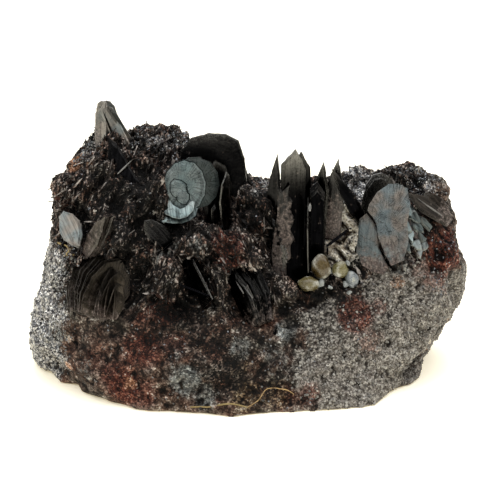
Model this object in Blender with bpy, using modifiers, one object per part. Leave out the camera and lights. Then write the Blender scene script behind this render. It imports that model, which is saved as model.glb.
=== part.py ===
"""A bladed hematite specimen: plates, fans and tall blades of hematite with a few amber quartz
grains, standing in the hollows of a rough, iron-rich quartz matrix.

Metres, +Z up. The origin is the middle of the flat the specimen rests on, +X runs along its length
and -Y faces the side where the crystals show. Lengths in the tables below are in millimetres and
angles in degrees.
"""

from dataclasses import dataclass, replace
from math import cos, pi, radians, sin

import bmesh
import bpy
from mathutils import Matrix, Vector, noise

MM = 0.001

# ---------------------------------------------------------------- driving dimensions (mm)
REST_LEVEL = 0.0  # height of the flat that it rests on
CLEARANCE = 0.35  # gap between the matrix and each crystal that stands in it
PLATE = 0.6  # usual thickness of a hematite plate
BEND_STRIPS = 3  # flat strips that make up a curved plate

ROCK_VOXEL = 0.8
ROCK_TRIANGLES = 5000
RELIEF = ((8.5, 1.0), (3.8, 0.65))  # (size, height) of the rock's lumps, coarse then fine
CRAGS = (5.5, 0.9)  # (size, height) of the sharp crests between its broken faces
CRAGS_OFFSET = Vector((11.0, 5.0, 8.0))
CRAGS_MIDDLE = 0.35  # where the crests' height is nothing, so that they don't swell the rock
GRAIN = Vector((0.55, 0.1, 0.83))  # the way the streaks of the left mass run
GRAIN_RELIEF = (2.2, 0.55)  # (width, height) of those streaks
GRAIN_STRETCH = 0.8  # how far they are drawn out, 0 to 1
GRAIN_END = (-14.0, 4.0)  # X where the streaks fade out, and over how much
GRAIN_FOOT = (12.0, 8.0)  # Z where they begin, and over how much

# Cross-sections of the matrix, from its left end to its right one. Each is X, then a closed outline
# of (Y, Z): front foot, three points up the apron, inner edge, front and back of the crest, two points
# down the back, rear foot.
SECTIONS = (
    (-37.6, (
        (0, 2), (-2, 3.2), (-2.5, 4.8), (-1.5, 6.4), (0.5, 7.2),
        (3, 7.2), (5, 6.4), (6.5, 5), (6, 3.5), (4, 2.4),
    )),
    (-35.9, (
        (-3, 0.8), (-6, 3.5), (-7, 7), (-5.5, 10), (-3, 12),
        (1, 13), (6, 12.5), (10, 10), (11, 6), (8, 2),
    )),
    (-33.8, (
        (-6, 0.5), (-9.5, 4.5), (-10, 10), (-8, 14.5), (-6, 17),
        (-2, 19), (4, 21), (11, 18), (13, 10), (10, 1),
    )),
    (-32.2, (
        (-8, -1), (-11, 5), (-11.5, 12), (-9, 18), (-7.5, 23),
        (-3, 29), (4, 31), (12, 25), (14, 12), (11, 0),
    )),
    (-29.5, (
        (-10.5, 0.2), (-13.5, 6), (-13, 13), (-10.5, 20), (-8.5, 27),
        (-4, 35), (4, 37), (14, 29), (16, 13), (13, -1),
    )),
    (-25.0, (
        (-15.5, -0.6), (-16.5, 6), (-15, 14), (-12.5, 21), (-10, 29),
        (-5, 37), (5, 39.5), (15, 30), (17, 14), (14, -1),
    )),
    (-18.0, (
        (-19.5, -1), (-18.5, 6), (-16.5, 13), (-13.5, 20), (-11, 28.5),
        (-6, 37), (4, 40.5), (15, 32), (19, 15), (15, -1),
    )),
    (-11.0, (
        (-21.5, -1), (-19, 6), (-17, 13), (-13, 20), (-11, 26),
        (-5, 34), (5, 38.5), (15, 32), (20, 16), (17, -1),
    )),
    (-3.0, (
        (-22.0, -1), (-19.5, 6), (-17.5, 12), (-14, 19), (-10, 25),
        (-3, 30), (6, 32.5), (14, 28), (18, 15), (15, -1),
    )),
    (4.0, (
        (-21.5, -1), (-18.5, 6), (-15.5, 12), (-11.5, 17.5), (-7, 22),
        (-1, 27), (6, 30.5), (14, 26), (19, 14), (17, -1),
    )),
    (12.0, (
        (-20.5, -1), (-16.5, 6), (-13.5, 12), (-9.5, 17.5), (-4.5, 22),
        (0, 27), (7, 31), (14, 27), (18, 13), (15, -1),
    )),
    (20.0, (
        (-18.5, -1), (-15, 6), (-12, 12.5), (-8.5, 18.5), (-5, 23),
        (0, 29), (7, 32.3), (13, 28), (17, 15), (15, -1),
    )),
    (27.0, (
        (-9.5, -1), (-11.5, 5), (-10, 13), (-7.5, 18.5), (-4.5, 24),
        (0, 30), (7, 32.5), (13, 27), (15, 14), (12, -1),
    )),
    (31.5, (
        (-4, 3.5), (-8, 9), (-8.5, 14), (-6.5, 18.5), (-4, 24),
        (1, 29.5), (7, 31), (12, 25), (12, 14), (8, 3),
    )),
    (34.4, (
        (0, 8), (-5, 11), (-5.5, 14.5), (-4.5, 18), (-2.5, 22),
        (1.5, 26.5), (6, 27), (10, 21), (9, 13), (5, 8),
    )),
    (35.8, (
        (1, 10.5), (-2, 12), (-3, 14.5), (-2.5, 17), (-1, 19),
        (2, 20.5), (5, 20), (7, 17), (6, 13), (4, 11),
    )),
    (36.7, (
        (1, 13), (0, 13.7), (-0.8, 15), (0, 16.3), (1, 17),
        (2, 17.3), (3, 17), (4, 16), (4, 14.5), (3, 13.3),
    )),
)

# Lumps added to the matrix and hollows cut into it: centre, half sizes, turn about Y (clockwise seen
# from the front).
LUMPS = {
    "horn base": ((-23.5, 2.0, 37.5), (3.6, 4.5, 4.6), -15),
    "left crest": ((-15.5, 4.0, 38.9), (5.5, 5.0, 2.8), 8),
    "left shoulder": ((-29.5, -4.5, 31.5), (2.6, 3.5, 4.0), -30),
    "left rib": ((-21.5, -11.5, 28.0), (1.6, 2.6, 5.5), 30),
    "rosette rib": ((-15.2, -9.0, 32.5), (1.8, 3.0, 4.6), 12),
    "rosette ledge": ((-8.4, -11.0, 26.4), (4.4, 3.5, 1.7), -8),
    "red knob": ((-2.7, -10.5, 25.3), (2.9, 3.2, 2.4), 0),
    "cavity pillar": ((-13.0, -15.0, 20.5), (1.5, 2.5, 4.2), -10),
    "fan pillar": ((-4.8, -14.8, 19.5), (1.0, 2.6, 4.4), -6),
    "fan ridge": ((3.6, -11.0, 20.0), (1.3, 2.8, 6.0), -42),
    "saddle lump": ((1.0, -2.6, 28.6), (4.0, 4.2, 4.2), 30),
    "cream quartz": ((15.8, -2.0, 24.5), (3.4, 3.4, 5.0), 10),
    "druse": ((18.0, 6.0, 32.0), (2.3, 2.6, 1.9), 0),
    "right crest": ((25.8, 4.5, 33.0), (3.8, 3.6, 2.2), 0),
    "right corner": ((31.0, 3.0, 30.2), (2.6, 3.6, 2.4), 25),
    "rust end": ((33.0, -1.8, 19.5), (2.2, 4.0, 5.5), 15),
    "broken corner": ((29.9, -2.5, 4.8), (2.5, 3.4, 2.9), 30),
    "apron swell": ((-9.0, -15.5, 6.5), (13.0, 5.0, 5.0), 0),
    "left foot swell": ((-31.0, -6.5, 7.0), (6.0, 5.0, 5.0), 0),
    "back swell": ((-15.0, 15.0, 12.0), (11.0, 6.5, 8.5), -12),
    "right back swell": ((16.0, 13.5, 10.0), (10.0, 5.5, 7.5), 10),
    "back ledge": ((4.0, 13.5, 24.0), (6.5, 3.6, 3.4), -28),
}
HOLLOWS = {
    "main hollow": ((-7.0, -5.0, 33.2), (6.2, 6.5, 6.4), 10),
    "main hollow right": ((-3.0, -7.0, 31.0), (2.4, 4.0, 4.5), 0),
    "under horn": ((-20.4, -6.8, 37.0), (3.1, 4.2, 2.6), 30),
    "scale hollow": ((-27.6, -10.6, 29.0), (1.7, 3.0, 3.6), 20),
    "book side": ((-20.4, -15.5, 20.4), (4.0, 4.6, 6.0), 16),
    "cavity": ((-9.0, -16.0, 19.4), (3.8, 5.5, 5.6), 0),
    "fan hollow": ((0.6, -16.0, 18.0), (4.6, 5.5, 5.6), -24),
    "blade vug": ((8.0, -8.5, 26.0), (4.8, 6.0, 9.5), 4),
    "right vug": ((13.4, -8.0, 27.0), (3.8, 4.6, 7.5), 0),
    "shield hollow": ((20.8, -6.5, 29.5), (2.4, 4.0, 3.4), 0),
    "step hollow": ((28.6, -6.2, 27.2), (2.2, 3.6, 3.4), -20),
    "left pit": ((-28.9, -12.6, 9.6), (1.2, 2.2, 2.2), 10),
    "vug lip": ((10.0, -13.6, 15.2), (3.2, 1.7, 1.0), -8),
    "corner bite": ((31.5, -6.0, 6.6), (2.4, 3.0, 1.6), 25),
    "back scar": ((-3.0, 20.5, 15.0), (8.0, 3.6, 4.6), 24),
    "back pit": ((25.0, 17.0, 20.0), (4.0, 3.4, 3.0), 0),
}

# Outlines of plates, in halves of their width and height, anticlockwise seen from the front.
OUTLINES = {
    "blade": ((-1, -1), (1, -1), (1, 0.74), (-0.05, 1), (-1, 0.84)),
    "spindle": ((-0.5, -1), (0.6, -1), (1, -0.2), (0.7, 0.45), (0.1, 1), (-0.7, 0.4), (-1, -0.3)),
    "spear": ((-0.8, -1), (0.9, -1), (1, 0.3), (0.2, 1), (-0.5, 0.62), (-1, 0.2)),
    "leaf": ((-0.55, -1), (0.35, -1), (0.95, -0.35), (1, 0.2), (0.55, 0.8), (-0.1, 1), (-0.75, 0.65),
             (-1, 0.1), (-0.9, -0.5)),
    "dome": ((-0.9, -1), (1, -1), (1, 0.2), (0.86, 0.72), (0.5, 0.93), (0, 1), (-0.55, 0.9), (-0.9, 0.55),
             (-1, 0)),
    "shield": ((0.25, -1), (0.7, -0.7), (0.95, -0.1), (1, 0.5), (0.75, 0.95), (0.3, 1), (-0.4, 0.85),
               (-0.95, 0.45), (-1, 0.3), (-0.55, 0), (-0.45, -0.3), (-0.1, -0.7)),
    "half shield": ((0.7, -1), (0.9, -0.75), (0.25, -0.1), (0.15, 0.45), (-0.2, 0.75), (-0.6, 1),
                    (-0.95, 0.8), (-1, -0.3), (-0.6, -0.75), (0, -0.95)),
}
DISC_SIDES = 11
DISC_WOBBLE = 0.07  # how uneven a disc's outline is, as a share of its radius
WOBBLE_STEP = Vector((3.1, 0.0, 0.0))  # far enough apart that neighbouring corners differ


@dataclass(frozen=True)
class Plate:
    """One plate of hematite.

    facing: where its front looks, 0 to the front of the specimen and 90 to its right.
    lean: how far its front looks up. roll: how far its top turns to its own right.
    bend: how far its two sides curl back from its middle.
    """

    centre: tuple
    size: tuple
    facing: float = 0.0
    lean: float = 0.0
    roll: float = 0.0
    outline: str = "disc"
    thickness: float = PLATE
    bend: float = 0.0


def turn_of(plate):
    """The rotation that takes a plate lying flat, front up and top to +Y, to its place."""
    return (
        Matrix.Rotation(radians(plate.facing), 3, "Z")
        @ Matrix.Rotation(radians(90 - plate.lean), 3, "X")
        @ Matrix.Rotation(radians(-plate.roll), 3, "Z")
    )


def splayed(first, count, step, turn, shrink):
    """A sheaf of plates: the middle of each foot is step away from the last one's foot.

    Each plate is turned by (facing, lean, roll) and shrunk from the last, so tips stand apart.
    """
    sheaf = [first]
    for _ in range(count - 1):
        last = sheaf[-1]
        up = Vector((0.0, last.size[1] / 2, 0.0))
        foot = Vector(last.centre) - turn_of(last) @ up + Vector(step)
        turned = replace(
            last,
            size=tuple(side * shrink for side in last.size),
            facing=last.facing + turn[0],
            lean=last.lean + turn[1],
            roll=last.roll + turn[2],
        )
        centre = foot + turn_of(turned) @ up * shrink
        sheaf.append(replace(turned, centre=tuple(centre)))
    return tuple(sheaf)


CRYSTALS = {
    "horn_blades": (
        Plate((-24.3, 1.2, 41.0), (3.3, 11.4), -18, 10, -5, "leaf", 0.9),
        Plate((-22.5, 1.9, 41.2), (3.4, 10.8), 14, 10, -27, "spear", 0.9),
        Plate((-23.0, 3.0, 41.8), (2.8, 9.0), 0, 4, -14, "spear", 0.8),
    ),
    "horn_plate": (Plate((-21.2, -4.8, 37.6), (4.0, 7.4), -24, 12, 28, "spear", 0.5),),
    "dome_plate": (
        Plate((-6.3, -0.2, 35.2), (9.2, 11.8), -6, 12, -6, "dome", 0.8),
        Plate((-3.4, 0.9, 33.8), (6.0, 10.0), 16, 8, -16, "dome", 0.7),
    ),
    "recess_plates": (
        Plate((-5.6, -3.0, 32.6), (5.2, 9.6), 12, 8, 4, "leaf", 0.5),
        Plate((-5.8, -4.4, 27.8), (2.4, 5.0), 66, 4, 2, "blade", 0.5),
    ),
    "edge_plate": (Plate((-3.7, -5.8, 31.2), (4.2, 10.4), 62, 2, 2, "leaf", 0.5, 0.5),),
    "rosette": (
        Plate((-9.0, -5.6, 33.9), (8.2, 9.4), 14, 14, -8, thickness=0.7),
        Plate((-10.7, -6.9, 34.2), (7.0, 8.6), 12, 18, 6, thickness=0.9),
        Plate((-11.4, -7.7, 34.4), (3.0, 3.8), 12, 18, 0, thickness=0.5),
        Plate((-11.5, -7.6, 31.0), (6.2, 6.2), 4, 36, 10, thickness=0.7),
        Plate((-10.9, -7.4, 29.7), (6.4, 5.4), 2, 30, 4, thickness=0.6),
    ),
    "left_scale": (
        Plate((-29.8, -9.2, 27.4), (4.4, 7.4), -28, 26, -24, "leaf", 0.7),
        Plate((-29.4, -8.8, 27.0), (4.2, 7.0), -30, 24, -14, "leaf", 0.7),
    ),
    "ridge_blades": splayed(
        Plate((-25.2, -11.5, 27.4), (3.2, 9.4), -46, 4, 32, "spindle", 0.8),
        4, (0.6, 0.35, 0.0), (5, 6, 0), 0.95,
    ),
    "plate_book": splayed(
        Plate((-23.3, -13.2, 18.9), (6.8, 9.4), 28, 10, 38, "leaf", 0.6, -0.9),
        5, (-0.42, 0.32, 0.0), (-3, 9, -2), 1.04,
    ),
    "tilted_plate": (Plate((-14.8, -11.4, 27.4), (3.4, 7.0), 20, 10, -38, "leaf", 0.6),),
    "cavity_blade": (
        Plate((-8.6, -13.4, 20.2), (4.8, 8.4), -58, -8, -40, "blade", 0.55),
        Plate((-9.2, -12.0, 20.8), (3.6, 7.4), 50, 6, 2, "blade", 0.5),
    ),
    "fan_sheaf": splayed(
        Plate((2.2, -10.6, 19.4), (7.6, 12.6), -30, 24, -34, "leaf", 0.55),
        6, (-0.5, -0.32, 0.0), (-4, -5, 5), 0.89,
    ),
    "tall_blades": (
        Plate((6.2, -6.2, 27.9), (3.2, 23.6), -30, 4, 3, "blade", 1.0),
        Plate((7.6, -6.3, 27.9), (3.6, 23.4), 10, 4, 2, "blade", 1.0),
        Plate((8.4, -4.6, 27.8), (3.0, 20.5), 24, 3, -2, "blade", 0.8),
    ),
    "edge_blade": (Plate((9.0, -8.8, 26.4), (2.4, 12.0), 80, 2, 1, "spear", 0.5),),
    "right_blade": (Plate((11.1, -5.4, 26.6), (2.6, 16.0), 6, 2, 0, "blade", 0.6),),
    "slim_blade": (Plate((4.1, -4.0, 32.6), (1.7, 13.0), -16, 2, 4, "spindle", 0.8),),
    "pointed_blades": (
        Plate((12.6, -3.0, 30.5), (2.2, 14.2), -12, 2, 2, "spindle", 0.8),
        Plate((14.7, -3.2, 30.8), (3.0, 14.0), -22, 4, 1, "spear", 0.8),
        Plate((16.8, -3.8, 31.0), (2.4, 12.8), 14, 6, -30, "spindle", 0.7),
    ),
    "back_plate": (Plate((21.3, -0.6, 29.6), (5.2, 9.8), 12, 8, 10, "dome", 0.8),),
    "shield_plates": (
        Plate((22.6, -7.2, 27.9), (7.0, 13.6), -4, 24, 2, "shield", 0.9),
        Plate((20.9, -7.9, 24.7), (5.8, 9.8), -14, 20, 0, "half shield", 0.9),
    ),
    "step_plates": (
        Plate((26.4, -5.3, 26.4), (4.6, 9.6), 16, 28, -10, "leaf", 1.0),
        Plate((28.1, -4.7, 25.6), (3.6, 7.6), 24, 30, -14, "leaf", 1.0),
    ),
    "rim_plates": (
        Plate((29.4, -3.3, 29.5), (3.2, 8.6), 40, 34, -46, "spear", 0.7),
        Plate((31.6, -1.0, 28.7), (4.2, 7.0), 34, 30, -30, "leaf", 0.8),
    ),
}

SATIN_CRYSTALS = ("rosette", "left_scale", "shield_plates", "step_plates", "horn_blades")

QUARTZ = {  # centre, half sizes, turn about Y
    "amber_quartz_1": ((11.7, -8.8, 21.0), (1.7, 1.5, 2.25), -12),
    "amber_quartz_2": ((14.9, -8.4, 20.4), (1.35, 1.3, 1.6), 20),
    "amber_quartz_3": ((9.6, -10.3, 18.5), (1.9, 1.3, 1.25), 8),
    "white_quartz": ((16.9, -8.5, 18.6), (1.0, 1.1, 1.7), 25),
}


# ---------------------------------------------------------------- making things
def clear_scene():
    for item in list(bpy.data.objects):
        bpy.data.objects.remove(item, do_unlink=True)


def collection(name):
    made = bpy.data.collections.new(name)
    bpy.context.scene.collection.children.link(made)
    return made


def mesh_object(name, bm, home):
    """Turns a bmesh, in millimetres, into an object, in metres, and frees the bmesh."""
    bmesh.ops.scale(bm, vec=(MM, MM, MM), verts=bm.verts)
    bmesh.ops.recalc_face_normals(bm, faces=bm.faces)
    mesh = bpy.data.meshes.new(name)
    bm.to_mesh(mesh)
    bm.free()
    item = bpy.data.objects.new(name, mesh)
    home.objects.link(item)
    return item


def finish_shape(item):
    """Applies an object's modifiers, so that its mesh is what they made."""
    bpy.context.view_layer.update()
    seen = item.evaluated_get(bpy.context.evaluated_depsgraph_get())
    mesh = bpy.data.meshes.new_from_object(seen)
    item.modifiers.clear()
    item.data = mesh


def cut_or_join(item, others, operation):
    """Boolean of an object with every object of a collection."""
    step = item.modifiers.new(operation.lower(), "BOOLEAN")
    step.operation = operation
    step.solver = "EXACT"
    step.operand_type = "COLLECTION"
    step.collection = others
    finish_shape(item)


def as_helper(item):
    item.hide_render = True
    item.display_type = "WIRE"


def keep_largest_island(item):
    bm = bmesh.new()
    bm.from_mesh(item.data)
    left = set(bm.faces)
    islands = []
    while left:
        front = [left.pop()]
        island = list(front)
        while front:
            for edge in front.pop().edges:
                for face in edge.link_faces:
                    if face in left:
                        left.remove(face)
                        front.append(face)
                        island.append(face)
        islands.append(island)
    islands.sort(key=len)
    loose = {face for island in islands[:-1] for face in island}
    bmesh.ops.delete(bm, geom=list(loose), context="FACES")
    bm.to_mesh(item.data)
    bm.free()


# ---------------------------------------------------------------- matrix
def lofted_body():
    """One skin bridged through the cross-sections and closed at both ends."""
    bm = bmesh.new()
    rings = []
    for x, outline in SECTIONS:
        ring = [bm.verts.new((x, y, z)) for y, z in outline]
        rings.append([bm.edges.new(pair) for pair in zip(ring, ring[1:] + ring[:1])])
    for ring, following in zip(rings, rings[1:]):
        bmesh.ops.bridge_loops(bm, edges=ring + following)
    bmesh.ops.holes_fill(bm, edges=rings[0] + rings[-1])
    return bm


def ellipsoid(centre, half_sizes, turn, subdivisions=3):
    bm = bmesh.new()
    bmesh.ops.create_icosphere(bm, subdivisions=subdivisions, radius=1.0)
    place = Matrix.Translation(centre) @ Matrix.Rotation(radians(turn), 4, "Y")
    bmesh.ops.transform(bm, matrix=place @ Matrix.Diagonal((*half_sizes, 1.0)), verts=bm.verts)
    return bm


def smooth_step(value):
    value = min(max(value, 0.0), 1.0)
    return value * value * (3.0 - 2.0 * value)


def add_relief(item):
    """Moves the rock's points along their normals: rounded lumps all over, streaks on the left mass."""
    across_grain = GRAIN.cross(Vector((0.0, 1.0, 0.0))).normalized()
    for vertex in item.data.vertices:
        point = vertex.co / MM
        height = sum(size * noise.noise(point / width) for width, size in RELIEF)
        width, size = CRAGS
        height += size * (CRAGS_MIDDLE - abs(noise.noise(point / width + CRAGS_OFFSET)))
        width, size = GRAIN_RELIEF
        stretched = point / width - GRAIN * (point.dot(GRAIN) / width) * GRAIN_STRETCH
        left = smooth_step((GRAIN_END[0] - point.x) / GRAIN_END[1] + 0.5)
        high = smooth_step((point.z - GRAIN_FOOT[0]) / GRAIN_FOOT[1])
        height += left * high * size * noise.noise(stretched + across_grain)
        vertex.co += vertex.normal * height * MM


def flat_foot(item):
    """Cuts the foot off level and closes it, which makes the flat that the specimen rests on."""
    bm = bmesh.new()
    bm.from_mesh(item.data)
    everything = bm.verts[:] + bm.edges[:] + bm.faces[:]
    bmesh.ops.bisect_plane(
        bm, geom=everything, plane_co=(0, 0, REST_LEVEL * MM), plane_no=(0, 0, 1), clear_inner=True
    )
    bmesh.ops.holes_fill(bm, edges=[edge for edge in bm.edges if edge.is_boundary])
    bmesh.ops.triangulate(bm, faces=bm.faces)
    bmesh.ops.recalc_face_normals(bm, faces=bm.faces)
    bm.to_mesh(item.data)
    bm.free()


def make_matrix(home, helpers, sockets):
    body = mesh_object("matrix", lofted_body(), home)
    for role, table, operation in (("lump", LUMPS, "UNION"), ("hollow", HOLLOWS, "DIFFERENCE")):
        shapes = bpy.data.collections.new(role + "s")
        helpers.children.link(shapes)
        for name, (centre, half_sizes, turn) in table.items():
            as_helper(mesh_object(f"{role} {name}", ellipsoid(centre, half_sizes, turn), shapes))
        cut_or_join(body, shapes, operation)
    skin = body.modifiers.new("even skin", "REMESH")
    skin.mode = "VOXEL"
    skin.voxel_size = ROCK_VOXEL * MM
    finish_shape(body)
    add_relief(body)
    facets = body.modifiers.new("facets", "DECIMATE")
    facets.ratio = ROCK_TRIANGLES / (2 * len(body.data.polygons))
    finish_shape(body)
    flat_foot(body)
    cut_or_join(body, sockets, "DIFFERENCE")
    keep_largest_island(body)
    return body


# ---------------------------------------------------------------- crystals
def outline_points(plate):
    """The plate's outline, in halves of its width and height."""
    if plate.outline != "disc":
        return OUTLINES[plate.outline]
    steps = range(DISC_SIDES)
    seed = Vector(plate.centre)
    wobble = [1.0 + DISC_WOBBLE * noise.noise(seed + WOBBLE_STEP * step) for step in steps]
    turns = [2 * pi * step / DISC_SIDES for step in steps]
    return [(wide * cos(turn), wide * sin(turn)) for wide, turn in zip(wobble, turns)]


def plate_shape(plate, grow=0.0):
    """A flat or curved prism of the plate's outline, larger all round by grow."""
    bm = bmesh.new()
    width, height = (side / 2 + grow for side in plate.size)
    bm.faces.new([bm.verts.new((x * width, y * height, 0.0)) for x, y in outline_points(plate)])
    if plate.bend:
        for strip in range(1, BEND_STRIPS):
            at = (2 * strip / BEND_STRIPS - 1) * width
            everything = bm.verts[:] + bm.edges[:] + bm.faces[:]
            bmesh.ops.bisect_plane(bm, geom=everything, plane_co=(at, 0, 0), plane_no=(1, 0, 0))
        for vertex in bm.verts:
            vertex.co.z -= plate.bend * (vertex.co.x / width) ** 2
    thick = plate.thickness + 2 * grow
    bmesh.ops.recalc_face_normals(bm, faces=bm.faces)
    front = bm.faces[:]
    back = bmesh.ops.extrude_face_region(bm, geom=front, use_keep_orig=True)["geom"]
    moved = [item for item in back if isinstance(item, bmesh.types.BMVert)]
    bmesh.ops.translate(bm, vec=(0, 0, thick), verts=moved)
    bmesh.ops.translate(bm, vec=(0, 0, -thick / 2), verts=bm.verts)
    place = Matrix.Translation(plate.centre) @ turn_of(plate).to_4x4()
    bmesh.ops.transform(bm, matrix=place, verts=bm.verts)
    bmesh.ops.triangulate(bm, faces=bm.faces)
    return bm


def socket_shape(plates):
    """The room that a crystal takes in the rock: the convex hull of its plates, with clearance."""
    bm = bmesh.new()
    for plate in plates:
        grown = plate_shape(plate, CLEARANCE)
        for vertex in grown.verts:
            bm.verts.new(vertex.co)
        grown.free()
    hull = bmesh.ops.convex_hull(bm, input=bm.verts)
    inside = [item for item in hull["geom_interior"] if isinstance(item, bmesh.types.BMVert)]
    bmesh.ops.delete(bm, geom=inside, context="VERTS")
    return bm


def make_crystal(name, plates, home, helpers, sockets):
    """Plates grown together into one solid, and their sockets in the matrix."""
    crystal = mesh_object(name, plate_shape(plates[0]), home)
    if len(plates) > 1:
        others = bpy.data.collections.new(name + " plates")
        helpers.children.link(others)
        for number, plate in enumerate(plates[1:], 2):
            as_helper(mesh_object(f"{name} plate {number}", plate_shape(plate), others))
        cut_or_join(crystal, others, "UNION")
    as_helper(mesh_object(name + " socket", socket_shape(plates), sockets))
    return crystal


def make_quartz(name, shape, home, sockets):
    centre, half_sizes, turn = shape
    grain = mesh_object(name, ellipsoid(centre, half_sizes, turn, 2), home)
    room = tuple(half + CLEARANCE for half in half_sizes)
    as_helper(mesh_object(name + " socket", ellipsoid(centre, room, turn, 2), sockets))
    return grain


# ---------------------------------------------------------------- materials
def material(name, colour, metallic, roughness):
    made = bpy.data.materials.new(name)
    made.use_nodes = True
    shader = made.node_tree.nodes["Principled BSDF"]
    shader.inputs["Base Color"].default_value = (*colour, 1.0)
    shader.inputs["Metallic"].default_value = metallic
    shader.inputs["Roughness"].default_value = roughness
    made.diffuse_color = (*colour, 1.0)
    return made


def main():
    clear_scene()
    home = collection("hematite specimen")
    helpers = collection("cutters")
    sockets = bpy.data.collections.new("sockets")
    helpers.children.link(sockets)
    bright = material("bright hematite", (0.05, 0.05, 0.055), 1.0, 0.2)
    satin = material("satin hematite", (0.12, 0.13, 0.14), 1.0, 0.38)
    rock = material("iron-rich quartz rock", (0.07, 0.05, 0.045), 0.2, 0.7)
    amber = material("amber quartz", (0.65, 0.45, 0.2), 0.0, 0.25)
    white = material("white quartz", (0.7, 0.72, 0.75), 0.0, 0.3)
    for name, plates in CRYSTALS.items():
        crystal = make_crystal(name, plates, home, helpers, sockets)
        crystal.data.materials.clear()
        crystal.data.materials.append(satin if name in SATIN_CRYSTALS else bright)
    for name, shape in QUARTZ.items():
        grain = make_quartz(name, shape, home, sockets)
        grain.data.materials.append(white if name == "white_quartz" else amber)
    body = make_matrix(home, helpers, sockets)
    body.data.materials.clear()
    body.data.materials.append(rock)


main()
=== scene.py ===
"""Looks of a bladed hematite specimen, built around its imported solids.

The rock is one mesh grown from the matrix solid. Plates of hematite are stacks of thin growth
sheets that replace the crystal solids. Flakes, blades and grains are scattered on the rock and
joined into one mesh a kind. Tables are in millimetres and degrees, in the frame of the solids:
+X along the specimen, -Y to the side where the crystals show, +Z up.
"""

import random
from dataclasses import dataclass, replace
from functools import partial
from math import cos, pi, radians, sin

import bmesh
import bpy
import numpy as np
from bpy.props import FloatProperty, FloatVectorProperty, IntProperty, PointerProperty
from bpy.types import Operator, Panel, PropertyGroup
from mathutils import Matrix, Vector, noise
from mathutils.bvhtree import BVHTree


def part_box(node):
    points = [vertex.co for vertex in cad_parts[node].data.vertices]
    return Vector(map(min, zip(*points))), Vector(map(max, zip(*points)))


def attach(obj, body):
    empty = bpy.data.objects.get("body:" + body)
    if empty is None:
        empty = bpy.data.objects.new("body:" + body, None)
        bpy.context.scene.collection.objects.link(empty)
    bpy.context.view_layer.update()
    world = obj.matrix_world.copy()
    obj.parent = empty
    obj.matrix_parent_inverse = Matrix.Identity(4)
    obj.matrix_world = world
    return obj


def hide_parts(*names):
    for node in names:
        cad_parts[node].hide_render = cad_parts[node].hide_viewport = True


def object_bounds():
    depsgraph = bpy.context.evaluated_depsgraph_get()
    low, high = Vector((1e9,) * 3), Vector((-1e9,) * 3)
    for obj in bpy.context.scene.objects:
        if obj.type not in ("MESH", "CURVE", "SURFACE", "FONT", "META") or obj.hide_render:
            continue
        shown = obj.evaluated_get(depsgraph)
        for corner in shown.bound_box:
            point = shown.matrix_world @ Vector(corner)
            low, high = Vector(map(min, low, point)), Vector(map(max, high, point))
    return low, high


bl_info = {
    "name": "Hematite specimen",
    "version": (1, 0, 0),
    "blender": (4, 5, 0),
    "location": "View3D > Sidebar > Hematite",
    "description": "Builds a bladed hematite specimen on its rock, with quartz grains and a stage",
    "category": "Add Mesh",
}

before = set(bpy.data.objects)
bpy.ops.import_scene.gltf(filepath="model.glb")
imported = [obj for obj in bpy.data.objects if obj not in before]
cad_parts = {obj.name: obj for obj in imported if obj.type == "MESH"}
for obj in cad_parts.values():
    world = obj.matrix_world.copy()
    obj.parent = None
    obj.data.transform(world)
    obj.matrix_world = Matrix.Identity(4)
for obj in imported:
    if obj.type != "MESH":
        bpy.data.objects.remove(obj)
CAD_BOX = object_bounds()

MM = 0.001


# ---------------------------------------------------------------- colours and nodes
def linear(colour_hex, alpha=1.0):
    """An sRGB hex colour as linear RGBA."""
    shares = [int(colour_hex[i : i + 2], 16) / 255 for i in (1, 3, 5)]
    return (*(s / 12.92 if s <= 0.04045 else ((s + 0.055) / 1.055) ** 2.4 for s in shares), alpha)


def put(socket, value):
    """Sets a socket to a number, a tuple or an sRGB hex colour, or links another node's output."""
    if isinstance(value, bpy.types.NodeSocket):
        socket.id_data.links.new(value, socket)
    elif isinstance(value, str):
        socket.default_value = linear(value)
    else:
        socket.default_value = value


def node(tree, kind, sockets=None, out=0, stops=(), **settings):
    """Adds a shader node and returns one of its outputs.

    sockets holds what is put to its inputs, settings its own settings, and stops the
    (place, sRGB hex colour) pairs of a colour ramp.
    """
    made = tree.nodes.new("ShaderNode" + kind)
    for name, value in settings.items():
        setattr(made, name, value)
    for name, value in (sockets or {}).items():
        put(made.inputs[name], value)
    for number, (place, colour_hex) in enumerate(stops):
        band = made.color_ramp.elements
        element = band[number] if number < len(band) else band.new(place)
        element.position = place
        element.color = linear(colour_hex)
    return made.outputs[out]


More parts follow.
